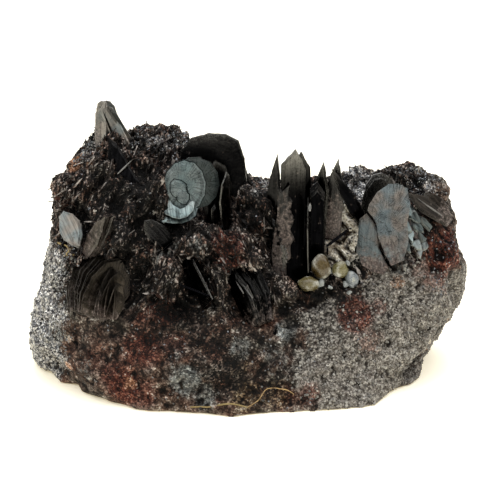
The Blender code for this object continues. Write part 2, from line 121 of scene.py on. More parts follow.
class Look:
    """A new material, with short names for the nodes that it is made of.

    Widths and depths are in millimetres. Each value is a number, a colour or a node's output.
    """

    def __init__(self, name):
        self.material = bpy.data.materials.new(name)
        self.material.use_nodes = True
        self.add = partial(node, self.material.node_tree)
        self.place = self.add("TexCoord", out="Object")

    def attribute(self, name):
        """A number that the mesh keeps."""
        return self.add("Attribute", out="Fac", attribute_name=name)

    def own_tone(self):
        """A number from 0 to 1 that each loose part of the mesh has for itself."""
        return self.add("NewGeometry", out="Random Per Island")

    def noise(self, width, detail=2.0, out=0, **more):
        """Noise with waves of this width."""
        sockets = {"Vector": self.place, "Scale": 1 / (width * MM), "Detail": detail, **more}
        return self.add("TexNoise", sockets, out)

    def drawn_noise(self, vector, scale, detail):
        """Noise drawn out along a vector's own axes."""
        run = self.add("VectorMath", {0: vector, 1: scale}, operation="MULTIPLY")
        return self.add("TexNoise", {"Vector": run, "Scale": 1.0, "Detail": detail})

    def cells(self, width, vector):
        """The colours of broken facets of this width."""
        return self.add("TexVoronoi", {"Vector": vector, "Scale": 1 / (width * MM)}, out="Color")

    def math(self, operation, *values, **settings):
        """One sum, with up to three values."""
        return self.add("Math", dict(enumerate(values)), operation=operation, **settings)

    def fit(self, value, low=0.0, high=1.0, first=0.0, last=1.0):
        """A value brought from the range low to high into the range first to last."""
        return self.add("MapRange", {0: value, 1: low, 2: high, 3: first, 4: last})

    def mix(self, share, first, second):
        """Two numbers mixed, by the share of the second."""
        return self.add("Mix", {0: share, 2: first, 3: second})

    def blend(self, share, first, second, kind="MIX"):
        """Two colours blended, by the share of the second."""
        sockets = {0: share, 6: first, 7: second}
        return self.add("Mix", sockets, out=2, data_type="RGBA", blend_type=kind)

    def filtered(self, colour, tint):
        """A colour multiplied by another."""
        return self.blend(1.0, colour, tint, "MULTIPLY")

    def dimmed(self, colour):
        """A colour made darker by the attribute "dim", or brighter where that is under 0."""
        return self.filtered(colour, self.math("SUBTRACT", 1.0, self.attribute("dim")))

    def ramp(self, value, *stops):
        """A ramp of colours over a value."""
        return self.add("ValToRGB", {0: value}, stops=stops)

    def bump(self, strength, depth, height, **under):
        """Relief in the shading, as deep as this."""
        return self.add("Bump", {"Strength": strength, "Distance": depth * MM, "Height": height, **under})

    def finish(self, **sockets):
        """The material, with its shader's sockets set. Their names have _ for a space."""
        shader = self.material.node_tree.nodes["Principled BSDF"]
        for name, value in sockets.items():
            put(shader.inputs[name.replace("_", " ")], value)
        return self.material


# ---------------------------------------------------------------- settings
class SpecimenSettings(PropertyGroup):
    """Sizes and colours of the rock, its crystals and its grains."""

    rock_step: FloatProperty(
        name="Rock mesh step", description="Edge length of the rock's mesh", default=0.34 * MM,
        min=0.2 * MM, unit="LENGTH",
    )
    rock_faces: IntProperty(
        name="Rock triangles", description="Most triangles in the rock's mesh", default=185000
    )
    sheet: FloatProperty(
        name="Growth sheet", description="Thickness of one growth sheet of a plate",
        default=0.12 * MM, unit="LENGTH",
    )
    flakes: IntProperty(
        name="Flakes", description="Number of glittering hematite flakes", default=7000, min=0
    )
    rubble: IntProperty(
        name="Blade rubble", description="Number of small blades on the dark rock", default=12000, min=0
    )
    grains: IntProperty(
        name="Quartz grains", description="Number of grains in the sugary quartz", default=9000, min=0
    )
    fibre_width: FloatProperty(
        name="Fibre", description="Thickness of the curled fibre", default=0.15 * MM, unit="LENGTH"
    )
    floor_colour: FloatVectorProperty(
        name="Floor", description="Colour of the floor", default=linear("#fffdf2")[:3], subtype="COLOR",
        size=3, min=0.0, max=1.0,
    )


# ---------------------------------------------------------------- meshes
def linked(name, data):
    """Adds an object to the scene."""
    item = bpy.data.objects.new(name, data)
    bpy.context.scene.collection.objects.link(item)
    return item


def handed_over(piece, material, slot, *cad_nodes):
    """Finishes a piece: its material, what it rides on and the solids it replaces. slot is not used."""
    piece.data.materials.clear()
    piece.data.materials.append(material)
    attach(piece, "root")
    if cad_nodes:
        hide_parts(*cad_nodes)
    return piece


def mesh_piece(name, bm, material, slot, *cad_nodes):
    """Turns a bmesh in millimetres into a finished piece."""
    bmesh.ops.scale(bm, vec=(MM, MM, MM), verts=bm.verts)
    mesh = bpy.data.meshes.new(name)
    bm.to_mesh(mesh)
    bm.free()
    return handed_over(linked(name, mesh), material, slot, *cad_nodes)


def extrude(bm, faces, up):
    """Gives flat faces a thickness along Z."""
    made = bmesh.ops.extrude_face_region(bm, geom=faces, use_keep_orig=True)["geom"]
    moved = [item for item in made if isinstance(item, bmesh.types.BMVert)]
    bmesh.ops.translate(bm, vec=(0, 0, up), verts=moved)


def cut(bm, place, way, **settings):
    """Cuts all of a bmesh along a plane."""
    everything = bm.verts[:] + bm.edges[:] + bm.faces[:]
    bmesh.ops.bisect_plane(bm, geom=everything, plane_co=place, plane_no=way, **settings)


def box_mm(name):
    """The least and greatest corner of a solid, in millimetres."""
    return (np.array(corner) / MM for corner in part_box(name))


def evaluated_mesh(item):
    """The mesh of an object as its modifiers or its curve make it."""
    bpy.context.view_layer.update()
    return bpy.data.meshes.new_from_object(item.evaluated_get(bpy.context.evaluated_depsgraph_get()))


def vertex_places(mesh):
    """The mesh's points, in millimetres."""
    places = np.empty(len(mesh.vertices) * 3, np.float32)
    mesh.vertices.foreach_get("co", places)
    return places.reshape(-1, 3).astype(float) / MM


def smooth_step(values, low, high):
    """0 below low and 1 above high, smooth between, for a number or an array."""
    share = np.clip((np.asarray(values) - low) / (high - low), 0.0, 1.0)
    return share * share * (3 - 2 * share)


def soft_noise(places, width, seed):
    """Soft noise from -1 to 1 at points in millimetres."""
    away = Vector((seed * 17.3, seed * 5.1, -seed * 9.7))
    return np.array([noise.noise(Vector(place) / width + away) for place in places])


def ridged(values):
    """Soft noise turned to sharp ridges."""
    return 0.5 - 2.0 * np.abs(values)


def store(mesh, name, values):
    """Keeps one number a vertex for the materials."""
    made = mesh.attributes.new(name, "FLOAT", "POINT")
    made.data.foreach_set("value", np.asarray(values, np.float32))


# ---------------------------------------------------------------- materials
RAY_RUN = (30.0, 0.5, 1.0)  # how finely striations part round a nucleus and along themselves
LINE_RUN = (2.6, 0.2, 1.0)  # the same across and along a blade
RUST_TONES = ((0.35, "#261d1a"), (0.55, "#52453f"), (0.7, "#867870"))
# Pale of rubbed faces and of the painted highlights on rims, plate tops and slivers.
WEAR_AND_HIGHLIGHT_PALE = "#86847f"


def hematite(name, dark, pale, roughness, film=("#ffffff", "#ffffff")):
    """Specular hematite (iron oxide), grown as stacked sheets in a vug.

    A dark metal: nearly black where it mirrors a dark room, bright at a glance. Striations of
    about 0.4 mm run along a blade or spread from a nucleus with rings round it. Each sheet has a
    tone of its own and hair cracks cross it. Faces rubbed by use are painted pale, and so are
    painted highlights along rims, at the tops of plates and on thin slivers. Where the attribute
    "stain" is high, rust covers it. film is a pair of surface tints.
    """
    look = Look(name)
    sheet = look.add("UVMap", uv_map="growth")
    across = look.add("SeparateXYZ", {0: sheet})
    along = across.node.outputs[1]
    distance = look.add("VectorMath", {0: sheet}, out="Value", operation="LENGTH")
    wobble = look.add("TexNoise", {"Vector": sheet, "Scale": 0.7, "Detail": 2.0})
    ring = look.math("MULTIPLY", look.math("MULTIPLY_ADD", wobble, 1.8, distance), 2.4)
    rings = look.add("TexNoise", {"W": ring, "Detail": 3.0}, noise_dimensions="1D")
    ray = look.add("CombineXYZ", {0: look.math("ARCTAN2", across, along), 1: distance})
    disc = look.mix(0.55, rings, look.drawn_noise(ray, RAY_RUN, 2.0))
    radial = look.attribute("radial")
    growth = look.mix(radial, look.drawn_noise(sheet, LINE_RUN, 3.0), disc)

    tone = look.math("MULTIPLY_ADD", look.own_tone(), 0.3, look.noise(1.9, 3.0))
    strong = look.fit(growth, 0.4, 0.6, -0.5, 0.5)
    contrast = look.fit(radial, first=0.6, last=0.7)
    tone = look.math("MULTIPLY_ADD", strong, contrast, tone)
    colour = look.blend(look.fit(tone, 0.2, 1.1), dark, pale)
    tint = look.ramp(look.noise(3.1), (0.4, film[0]), (0.6, film[1]))
    colour = look.filtered(colour, tint)
    # Each plate's shade: its own darker or paler tone, and on near-black plates painted shade in gaps and
    # outlines.
    colour = look.filtered(colour, look.add("Attribute", out="Color", attribute_name="shade"))
    crack = look.math("SUBTRACT", look.noise(2.6, 2.5, Distortion=0.6), 0.5)
    crack = look.fit(look.math("ABSOLUTE", crack), 0.0, 0.012, 0.35, 1.0)
    colour = look.filtered(colour, crack)

    fine = look.noise(0.3)
    stain = look.math("MULTIPLY_ADD", look.noise(0.8, 5.0), 2.6, look.attribute("stain"))
    stain = look.fit(stain, 1.65, 2.3)
    colour = look.blend(stain, colour, look.ramp(fine, *RUST_TONES))
    # Pale where faces are rubbed, and painted highlights on rims, plate tops and thin slivers.
    wear_and_highlight_share = look.fit(look.mix(0.6, fine, growth), 0.38, 0.56, 0.35, 1.0)
    wear_and_highlight_share = look.math("MULTIPLY", wear_and_highlight_share, look.attribute("wear_and_highlight"), use_clamp=True)
    colour = look.blend(wear_and_highlight_share, colour, WEAR_AND_HIGHLIGHT_PALE)

    gloss = look.fit(growth, 0.3, 0.7, roughness * 0.7, roughness * 1.5)
    gloss = look.mix(look.math("MAXIMUM", wear_and_highlight_share, stain), gloss, 0.42)
    metal = look.fit(stain, first=1.0, last=0.15)
    bump = look.bump(0.5, 0.06, growth)
    bump = look.bump(0.3, 0.04, fine, Normal=bump)
    return look.finish(Base_Color=colour, Metallic=metal, Roughness=gloss, Normal=bump)


# What lies on the rock: (zone, darkest to palest colours, how soft its border is).
PAINTS = (
    ("sugary", ("#3c3732", "#625d57", "#86817a", "#b3afa7"), 0.0),
    # silver: white and near-black specks that paint the glints of tiny crystal faces on a silvery grit.
    ("silver", ("#101014", "#4c4d53", "#b2b2b2", "#fffefa"), 0.0),
    ("rust", ("#1a0807", "#3e1b16", "#603025", "#8c5c4a"), 1.0),
    ("orange", ("#3a2419", "#7a5138", "#a47c5f", "#d0ac95"), 0.6),
    ("golden", ("#1d160c", "#4a3a22", "#76603c", "#b39c70"), 0.8),
    ("pale", ("#3a3c3b", "#636767", "#868a89", "#b6b8b4"), 0.35),
    ("cream", ("#877d6a", "#cfc8b5", "#ece6d6", "#fffdf4"), 0.0),
)
PAINT_PLACES = (0.08, 0.4, 0.7, 1.0)  # where those colours lie, from the pattern's dark to its pale
DARK_TONES = (
    (0.47, "#040303"), (0.58, "#110e0d"), (0.675, "#2e2622"), (0.755, "#6a5f58"), (0.87, "#cbc4be"),
)
LOOSE_TONES = (
    (0.4, "#0e0b0a"), (0.5, "#271f1b"), (0.6, "#463a34"), (0.7, "#6a5e56"), (0.86, "#b4aaa0"),
)
ROCK_TINTS = ((0.36, "#a5aaa6"), (0.46, "#fdfdfc"), (0.55, "#f3e2d9"), (0.66, "#cda596"))
BLOTS = ((0.38, "#a89e98"), (0.5, "#f0edea"), (0.62, "#ffffff"))
# Painted shade: how much darker the rock is painted in its deepest hollows.
CREVICE_PAINTED_SHADE = ((0.05, "#ffffff"), (0.8, "#3c332c"))


def rock_material():
    """Iron-rich quartz rock, broken by hand: hematite dust, sugary quartz, rust and clay.

    The left and middle are dark, matt and streaked along the grown blades. The lower right is
    sugary grey quartz of 0.1 to 0.5 mm grains with dark hematite between them. Red and orange
    rust, brown films and pale quartz sit in patches, and small cleaved faces glitter everywhere.
    """
    look = Look("iron-rich quartz rock, broken")
    fine = look.noise(0.35, 4.0, Roughness=0.6)
    middle = look.fit(look.noise(1.5, 4.0, Roughness=0.6), 0.36, 0.64, 0.22, 0.78)
    bent = {0: look.noise(0.8, out="Color"), 1: (0.9 * MM,) * 3, 2: look.place}
    facets = look.cells(0.75, look.add("VectorMath", bent, operation="MULTIPLY_ADD"))
    facets = look.fit(look.add("SeparateColor", {0: facets}), first=0.22, last=0.78)
    mixed = look.mix(0.5, look.mix(0.45, middle, facets), fine)
    runs = []
    for _, lean in GRAIN_RUNS:
        run = {"Rotation": (0.0, radians(-lean), 0.0), "Scale": (1.0, 1.0, 0.12)}
        runs.append(look.noise(0.4, 3.0, Vector=look.add("Mapping", {0: look.place, **run})))
    streaks = look.fit(look.mix(look.attribute("second_run"), *runs), 0.36, 0.64, 0.2, 0.8)
    streaked = look.attribute("streaked")
    crevice = look.attribute("crevice")
    cells = look.cells(0.26, look.place)
    grit = look.add("SeparateColor", {0: cells})

    shade = look.mix(streaked, mixed, look.mix(0.55, mixed, streaks))
    # Painted shade: hollows a little darker and ridges a little lighter.
    shade = look.math("MULTIPLY_ADD", crevice, -0.09, shade)
    shade = look.math("MULTIPLY_ADD", grit, look.mix(streaked, 0.22, 0.17), shade)
    colour = look.blend(streaked, look.ramp(shade, *LOOSE_TONES), look.ramp(shade, *DARK_TONES))
    colour = look.filtered(colour, look.ramp(look.noise(4.0, 3.0), *ROCK_TINTS))
    soft = look.fit(look.mix(0.5, grit, mixed), 0.2, 0.78)
    for zone, tones, softness in PAINTS:
        paint = look.ramp(grit if zone == "silver" else soft, *zip(PAINT_PLACES, tones))
        edge = look.math("MULTIPLY_ADD", mixed, 3.2 - 1.4 * softness, look.attribute(zone))
        edge = look.fit(edge, 1.95 - 0.8 * softness, 2.4 - 0.4 * softness)
        colour = look.blend(edge, colour, paint)
    mottled = look.math("MULTIPLY_ADD", look.attribute("sugary"), -0.6, 1.0)
    blots = look.ramp(look.noise(2.4, 3.0, Roughness=0.65), *BLOTS)
    colour = look.blend(mottled, colour, blots, "MULTIPLY")
    # Painted shade in the rock's hollows.
    colour = look.filtered(colour, look.ramp(crevice, *CREVICE_PAINTED_SHADE))
    # Near-black patches: partly dark rock, partly painted shade in gaps, recesses and under plates; pale
    # grains keep a little of their colour.
    specks = look.fit(soft, 0.25, 0.9, 1.6, 0.6)
    black = look.math("MULTIPLY", look.attribute("black"), specks, use_clamp=True)
    colour = look.blend(black, colour, "#070605")

    share = look.math("MULTIPLY_ADD", look.attribute("glitter"), 0.25, 0.006)
    glint = look.math("LESS_THAN", grit.node.outputs[1], share)
    colour = look.blend(glint, colour, "#6e7073")
    gloss = look.mix(glint, look.fit(fine, 0.35, 0.65, 0.45, 0.85), 0.22)
    bump = look.bump(0.8, 0.3, look.mix(streaked, mixed, streaks))
    bump = look.bump(0.6, 0.2, cells.node.outputs["Distance"], Normal=bump)
    return look.finish(
        Base_Color=colour, Metallic=glint, Roughness=gloss, Specular_IOR_Level=0.12, Normal=bump
    )


def quartz(name, core, rim, transmission, roughness, grain_mm):
    """Quartz, stained by iron and frosted by growth: waxy and cloudy, each grain in its own tone.

    The attribute "frost" is 1 where a large grain is frosted white, and "dim" is how much
    darker than its kind a grain is, or brighter where it is under 0.
    """
    look = Look(name)
    cloud = look.noise(grain_mm * 4, 3.0)
    shade = look.math("MULTIPLY_ADD", look.own_tone(), 0.7, cloud)
    colour = look.blend(look.fit(shade, 0.45, 1.15), core, rim)
    frost = look.math("MULTIPLY", look.attribute("frost"), look.fit(cloud, 0.35, 0.6))
    colour = look.dimmed(look.blend(frost, colour, "#c3c2b6"))
    fine = look.noise(grain_mm, 3.0)
    gloss = look.fit(fine, 0.3, 0.7, roughness * 0.7, roughness * 1.4)
    bump = look.bump(0.4, 0.08, fine)
    return look.finish(
        Base_Color=colour, Transmission_Weight=transmission, IOR=1.544, Roughness=gloss, Normal=bump
    )


def hematite_flakes(name="specular hematite, small flakes", dark="#151517", pale="#767671"):
    """Loose scales of specular hematite, bright as new foil, each in its own tone."""
    look = Look(name)
    fine = look.noise(0.2)
    shade = look.math("MULTIPLY_ADD", fine, 0.5, look.own_tone())
    colour = look.dimmed(look.blend(look.fit(shade, 0.35, 1.2), dark, pale))
    gloss = look.fit(fine, 0.3, 0.7, 0.18, 0.4)
    bump = look.bump(0.3, 0.04, fine)
    return look.finish(Base_Color=colour, Metallic=1.0, Roughness=gloss, Normal=bump)


def bladed_rust():
    """Small hematite blades with a brown film of rust, duller than the large ones."""
    look = Look("small hematite blades, rusted")
    film = look.noise(1.5, 4.0)
    fine = look.noise(0.2)
    shade = look.fit(look.math("MULTIPLY_ADD", look.own_tone(), 0.6, film), high=1.15)
    colour = look.ramp(shade, (0.42, "#070606"), (0.62, "#1b1613"), (0.84, "#423832"), (1.0, "#aaa29b"))
    metal = look.fit(film, 0.4, 0.6, 0.8, 0.2)
    gloss = look.fit(fine, 0.3, 0.7, 0.3, 0.6)
    bump = look.bump(0.4, 0.05, fine)
    return look.finish(
        Base_Color=look.dimmed(colour), Metallic=metal, Roughness=gloss, Specular_IOR_Level=0.3, Normal=bump
    )


def fibre_material():
    """A dyed textile fibre or rootlet: golden, soft, and slightly shiny along its length."""
    look = Look("golden fibre")
    tone = look.fit(look.noise(0.8), 0.35, 0.65)
    return look.finish(Base_Color=look.blend(tone, "#6d5128", "#b7965f"), Roughness=0.5, Sheen_Weight=0.3)


# ---------------------------------------------------------------- the rock
ROCK_VOXEL = 0.42  # step of the meshes that close the gaps round the crystals
GAP_CLOSED = 0.62  # half of the widest gap that is closed
RELIEF = ((1.9, 0.34), (0.95, 0.22), (0.55, 0.16))  # (width, height) of the rock's grain
RELIEF_SEED = 3
CRAGS = (3.1, 0.28)  # (width, height) of broken crests
CRAG_SEED = 7
BLADED = ((1.5, 1.0), (0.75, 0.45))  # (width, height) of the ridges of the streaked mass
BLADED_SEED = 15
BLADED_BEND = (4.0, 0.7)  # (width, height) of the waves in those ridges
BEND_SEED = 11
GRAIN_RUNS = ((-24.0, 33.0), (-1.0, -36.0))  # (X, degrees to the right of up) of the two ways they run
GRAIN_TURNS = (-13.0, -6.0)  # X between which the first way gives over to the second
GRAIN_STRETCH = 0.85  # how much of their run the ridges are drawn out along it
FOOT = (0.2, 1.6)  # heights between which the relief sets in, so that the flat under it stays
SHARP = radians(38)  # angle from which an edge of the rock is sharp
CREVICE = 0.22  # depth that counts as a full crevice
CREVICE_REACH = 6  # steps of the mesh over which it is measured

# The sugary quartz lies under this line of (X, Z), and right of its left end.
SUGAR_TOP = ((-4, 4, 8, 13, 19, 24, 29, 33, 38), (8, 11, 13, 14.5, 18, 19.5, 19.5, 18, 18))
SUGAR_LEFT = 7.0
# The silvery grit carries painted glints.
SILVER = (-31.2, 25.0, 6.0)  # X, Z and Y that the silvery grit of the left end lies short of

# Patches of the rock's surface: centre, radius, strength.
PATCHES = {
    "rust": (
        ((-20.4, -18.4, 3.5), 3.4, 1.0), ((-17.6, -19.0, 3.0), 3.0, 0.8), ((-22.9, -16.6, 7.6), 4.6, 0.45),
        ((-13.0, -17.2, 11.4), 2.4, 0.4), ((-8.1, -17.1, 12.2), 2.0, 0.35),
        ((-17.0, -16.3, 13.7), 2.8, 0.55), ((-13.8, -15.7, 16.1), 3.0, 0.8),
        ((17.3, -11.8, 13.6), 3.0, 1.3), ((19.7, -13.8, 10.0), 2.8, 0.6), ((21.4, -10.8, 14.6), 1.6, 0.7),
        ((33.4, -4.9, 22.5), 4.8, 1.15), ((33.4, -5.5, 18.0), 3.2, 0.8), ((-3.5, -13.4, 26.4), 3.2, 0.8),
        ((27.5, -7.0, 20.6), 2.6, 0.6), ((30.0, -5.6, 5.0), 2.4, 1.0), ((-30.9, -6.5, 30.9), 2.2, 0.5),
        ((1.0, -9.0, 24.0), 2.4, 0.4), ((-22.5, -17.6, 5.4), 2.4, 0.8), ((-12.2, -17.7, 10.8), 2.2, 0.6),
        ((-26.0, -15.6, 7.0), 2.4, 0.6), ((-17.4, -17.6, 10.0), 3.4, 0.9), ((32.0, -4.4, 24.4), 3.0, 0.9),
        ((30.4, -7.0, 18.4), 2.4, 0.7), ((-3.4, -13.2, 23.8), 2.6, 0.9), ((9.6, -18.2, 2.4), 2.2, 0.8),
        ((5.4, -19.2, 3.0), 2.0, 0.6), ((10.0, -18.0, 4.0), 2.2, 0.3), ((12.0, 16.0, 9.0), 5.0, 0.6),
        ((-22.0, 17.0, 16.0), 5.0, 0.5), ((2.0, 8.0, 29.0), 3.0, 0.5), ((30.0, 11.0, 18.0), 4.0, 0.5),
    ),
    "orange": (
        ((-29.1, -0.6, 36.0), 1.8, 1.2), ((-27.6, 0.2, 36.9), 1.4, 1.0), ((-26.2, -4.5, 37.0), 1.0, 0.6),
        ((-30.2, -12.4, 4.7), 1.0, 1.0), ((24.5, -8.3, 18.1), 1.3, 0.7), ((-19.6, -18.8, 4.3), 1.2, 0.7),
        ((-31.0, -4.0, 33.5), 1.4, 0.6), ((33.5, 1.0, 8.0), 2.4, 0.4), ((-6.0, 19.0, 8.0), 3.0, 0.6),
    ),
    "golden": (
        ((-0.6, -20.3, 2.6), 3.0, 0.55), ((4.0, -19.4, 2.6), 2.6, 0.45), ((-1.8, -19.0, 8.0), 2.2, 0.4),
        ((-30.0, -10.0, 23.8), 1.3, 0.5), ((-9.0, -14.6, 22.0), 1.5, 0.5), ((-33.0, -9.0, 3.6), 2.6, 0.35),
        ((-7.4, -17.5, 9.8), 1.6, 0.4), ((14.0, 17.0, 4.0), 4.0, 0.4),
    ),
    "pale": (
        ((-10.5, -20.2, 5.7), 2.7, 1.0), ((-7.3, -20.5, 3.1), 2.2, 0.65), ((-1.6, -18.3, 10.1), 1.9, 0.7),
        ((5.9, -14.8, 12.2), 1.9, 0.95), ((-26.6, -15.0, 5.6), 2.0, 0.5), ((-25.0, -13.5, 14.5), 1.6, 0.4),
        ((-12.0, -18.6, 8.6), 1.8, 0.5), ((16.9, -12.0, 12.0), 1.2, 0.5), ((24.9, -6.5, 20.9), 2.4, 0.7),
        ((-14.6, -12.9, 24.0), 1.6, 0.8), ((26.8, -8.2, 21.2), 1.8, 0.55), ((-32.4, -10.6, 8.6), 2.0, 0.45),
        ((4.2, -16.6, 8.6), 2.4, 0.5), ((-26.0, 16.0, 8.0), 4.0, 0.6), ((8.0, 17.0, 14.0), 3.6, 0.55),
        ((17.6, 1.6, 31.8), 2.4, 0.9), ((-8.6, -14.2, 26.9), 1.6, 0.5), ((-12.6, -13.0, 26.0), 1.2, 0.5),
    ),
    "cream": (
        ((16.2, -5.2, 24.6), 4.2, 1.8), ((16.6, -4.0, 28.6), 3.4, 1.2), ((29.2, -6.4, 7.4), 1.4, 0.7),
        ((30.9, -4.6, 5.4), 1.2, 0.6), ((18.4, 9.0, 30.0), 3.0, 0.5),
    ),
    # Near-black patches: partly dark rock, partly painted shade in gaps, recesses and under plates.
    "black": (
        ((-16.3, -7.7, 35.1), 2.6, 0.95), ((-15.2, -9.0, 33.4), 2.2, 0.85),
        ((-19.0, -13.4, 18.6), 2.6, 0.7), ((-5.6, -16.4, 21.4), 2.8, 0.5), ((-5.2, -16.0, 17.9), 3.0, 0.5),
        ((-9.0, -13.0, 15.3), 2.6, 0.6), ((-1.6, -15.0, 13.7), 3.2, 0.5), ((-7.3, -15.7, 14.0), 3.2, 0.5),
        ((-5.7, -17.5, 11.6), 3.2, 0.4), ((-8.1, -18.9, 10.0), 2.6, 0.4), ((-5.5, -19.3, 9.2), 2.6, 0.6),
        ((0.0, -19.3, 5.3), 3.2, 0.45), ((3.6, -18.3, 6.2), 2.8, 0.4), ((8.2, -12.8, 14.2), 2.8, 0.55),
        ((13.2, -12.4, 14.0), 3.4, 0.5), ((16.5, -11.0, 14.9), 3.0, 0.4), ((21.1, -11.3, 14.3), 3.4, 0.35),
        ((9.0, -14.0, 12.0), 3.0, 0.3), ((9.8, -15.4, 9.8), 3.0, 0.2), ((0.0, -5.4, 31.4), 2.6, 0.45),
        ((0.8, -6.2, 25.6), 2.6, 0.4), ((28.9, -3.6, 28.0), 1.6, 0.8), ((-11.4, -15.8, 15.2), 2.6, 0.8),
        ((-14.4, -16.4, 12.8), 2.6, 0.5), ((-14.6, -16.3, 13.7), 2.4, 0.3),
        ((-21.1, -15.4, 15.1), 2.6, 0.35), ((1.6, -17.0, 10.4), 2.4, 0.35), ((-23.8, -6.4, 36.6), 2.6, 0.5),
        ((-21.2, -7.2, 35.1), 2.8, 0.8), ((-17.9, -7.1, 35.1), 3.0, 0.9), ((-16.0, -7.5, 35.0), 2.6, 0.6),
        ((-22.4, -9.2, 31.3), 2.8, 0.6), ((-17.1, -11.9, 28.8), 2.8, 0.75),
        ((-14.6, -10.5, 31.6), 2.4, 0.8), ((-22.1, -10.7, 22.5), 2.6, 0.8),
        ((-19.6, -11.8, 22.4), 3.0, 0.9), ((-21.0, -12.5, 20.0), 2.4, 0.8),
        ((-19.3, -12.4, 19.1), 3.0, 0.75), ((-20.8, -13.4, 17.2), 2.2, 0.6),
        ((-13.6, -15.7, 16.8), 2.4, 0.85), ((-11.4, -14.4, 15.9), 2.8, 0.95),
        ((-8.9, -12.2, 16.0), 2.4, 0.8), ((-11.4, -13.0, 19.0), 2.6, 0.85), ((-6.8, -12.8, 23.3), 1.6, 0.5),
        ((-8.9, -11.4, 28.3), 2.4, 0.9), ((-13.0, -10.0, 27.5), 2.6, 0.9), ((-4.0, -7.0, 28.2), 1.8, 0.7),
        ((29.8, -3.3, 26.5), 2.2, 0.8), ((31.1, -3.3, 25.1), 1.8, 0.6), ((4.3, -10.6, 22.5), 2.2, 0.8),
        ((8.3, -8.3, 16.6), 2.6, 0.9), ((11.2, -9.8, 17.2), 2.0, 0.8), ((13.2, -9.6, 17.1), 1.8, 0.7),
        ((17.6, -7.2, 20.6), 1.6, 0.8), ((16.2, -8.0, 19.0), 1.4, 0.7), ((1.0, -6.8, 28.6), 2.4, 0.5),
        ((-4.1, -12.8, 22.8), 2.0, 0.6), ((-2.9, -13.6, 17.8), 2.2, 0.5), ((6.0, -13.2, 15.0), 1.8, 0.6),
        ((-28.0, -7.9, 29.2), 2.4, 0.9), ((-26.9, -9.6, 26.9), 1.8, 0.9), ((12.0, -1.0, 29.0), 3.4, 0.8),
        ((19.4, -9.4, 16.9), 1.6, 0.5), ((14.6, -11.0, 15.4), 1.6, 0.6), ((-24.6, -12.0, 24.6), 1.4, 0.6),
        ((-27.2, -13.0, 14.6), 1.6, 0.4), ((33.0, -3.0, 8.0), 2.0, 0.6), ((-21.0, -11.9, 30.9), 2.4, 0.7),
        ((-20.9, -12.9, 28.4), 2.4, 0.8), ((-21.0, -12.2, 25.5), 2.4, 0.7),
        ((-18.5, -12.2, 25.5), 2.4, 0.75), ((-18.5, -13.0, 23.0), 2.4, 0.8),
        ((-10.7, -11.4, 27.9), 2.0, 0.7), ((-8.1, -12.4, 28.6), 1.8, 0.6), ((-5.5, -13.0, 23.0), 2.0, 0.6),
        ((-2.9, -10.4, 27.6), 1.8, 0.4), ((-5.5, -13.2, 25.8), 1.8, 0.5), ((-8.0, -14.6, 26.3), 1.8, 0.35),
        ((-17.6, -16.8, 11.4), 3.0, 0.5), ((-7.2, -17.6, 12.6), 3.0, 0.6), ((-7.6, -20.0, 8.0), 2.6, 0.55),
        ((-12.0, -19.3, 9.6), 2.4, 0.5), ((-1.6, -18.6, 9.0), 2.0, 0.5), ((4.2, -19.0, 4.0), 2.4, 0.5),
        ((6.4, -18.4, 6.2), 2.0, 0.45), ((-13.6, -16.0, 20.4), 2.6, 0.5), ((-7.9, -9.0, 29.6), 2.0, 0.9),
        ((-8.2, -10.4, 28.4), 1.6, 0.9), ((11.5, -12.4, 14.4), 2.4, 0.5), ((-18.0, -16.9, 12.2), 3.4, 0.35),
        ((-4.0, -19.6, 6.2), 3.8, 0.75), ((1.6, -19.2, 4.4), 3.0, 0.5), ((-19.4, -9.8, 32.4), 4.4, 0.8),
        ((2.4, -6.0, 30.2), 3.6, 0.85), ((3.2, -7.6, 27.0), 2.4, 0.6), ((-4.4, -12.6, 24.6), 3.0, 0.5),
        ((10.8, -14.4, 11.0), 3.2, 0.35), ((8.2, -16.0, 9.0), 3.2, 0.3),
    ),
    # Silvery grit, with painted glints as white and near-black specks.
    "silver": (
        ((17.9, 4.4, 33.0), 3.2, 1.0), ((16.8, -2.4, 29.4), 1.8, 0.9), ((-15.0, 1.0, 40.6), 2.6, 0.45),
        ((-27.0, 1.0, 38.0), 2.4, 0.6), ((2.6, 5.0, 31.2), 1.6, 0.6), ((24.0, 2.0, 33.4), 2.0, 0.5),
        ((29.6, 0.6, 31.0), 2.4, 0.5), ((1.0, -4.2, 32.4), 1.0, 0.7), ((18.6, 3.2, 32.0), 4.0, 1.5),
        ((26.6, -6.6, 21.4), 1.6, 0.6), ((17.6, 1.4, 31.2), 3.0, 1.4),
    ),
    "glitter": (
        ((-34.0, -8.0, 12.0), 6.0, 1.0), ((-33.0, -7.0, 18.0), 5.0, 1.0), ((-31.0, -9.0, 22.0), 3.6, 1.0),
        ((-35.0, -8.0, 7.0), 5.0, 1.0), ((-29.4, -10.6, 18.6), 3.0, 0.8), ((-27.0, 1.0, 37.5), 3.4, 0.9),
        ((-16.0, 3.0, 41.0), 4.6, 0.6), ((-12.0, 3.0, 40.0), 4.0, 0.7), ((18.0, 4.0, 32.4), 3.4, 1.0),
        ((28.7, 2.3, 32.4), 4.0, 0.7), ((22.5, 3.5, 33.0), 3.6, 0.6), ((32.0, -6.0, 16.6), 2.6, 0.4),
        ((32.6, -4.0, 22.4), 3.4, 0.1), ((2.6, 5.9, 31.3), 3.0, 0.5), ((-36.0, 4.0, 14.0), 7.0, 0.7),
        ((-20.0, 14.0, 30.0), 7.0, 0.6), ((20.0, 13.0, 24.0), 6.0, 0.5),
    ),
}
PATCH_EDGE = (1.45, 0.9)  # in radii: where a patch ends, and over how much it fades

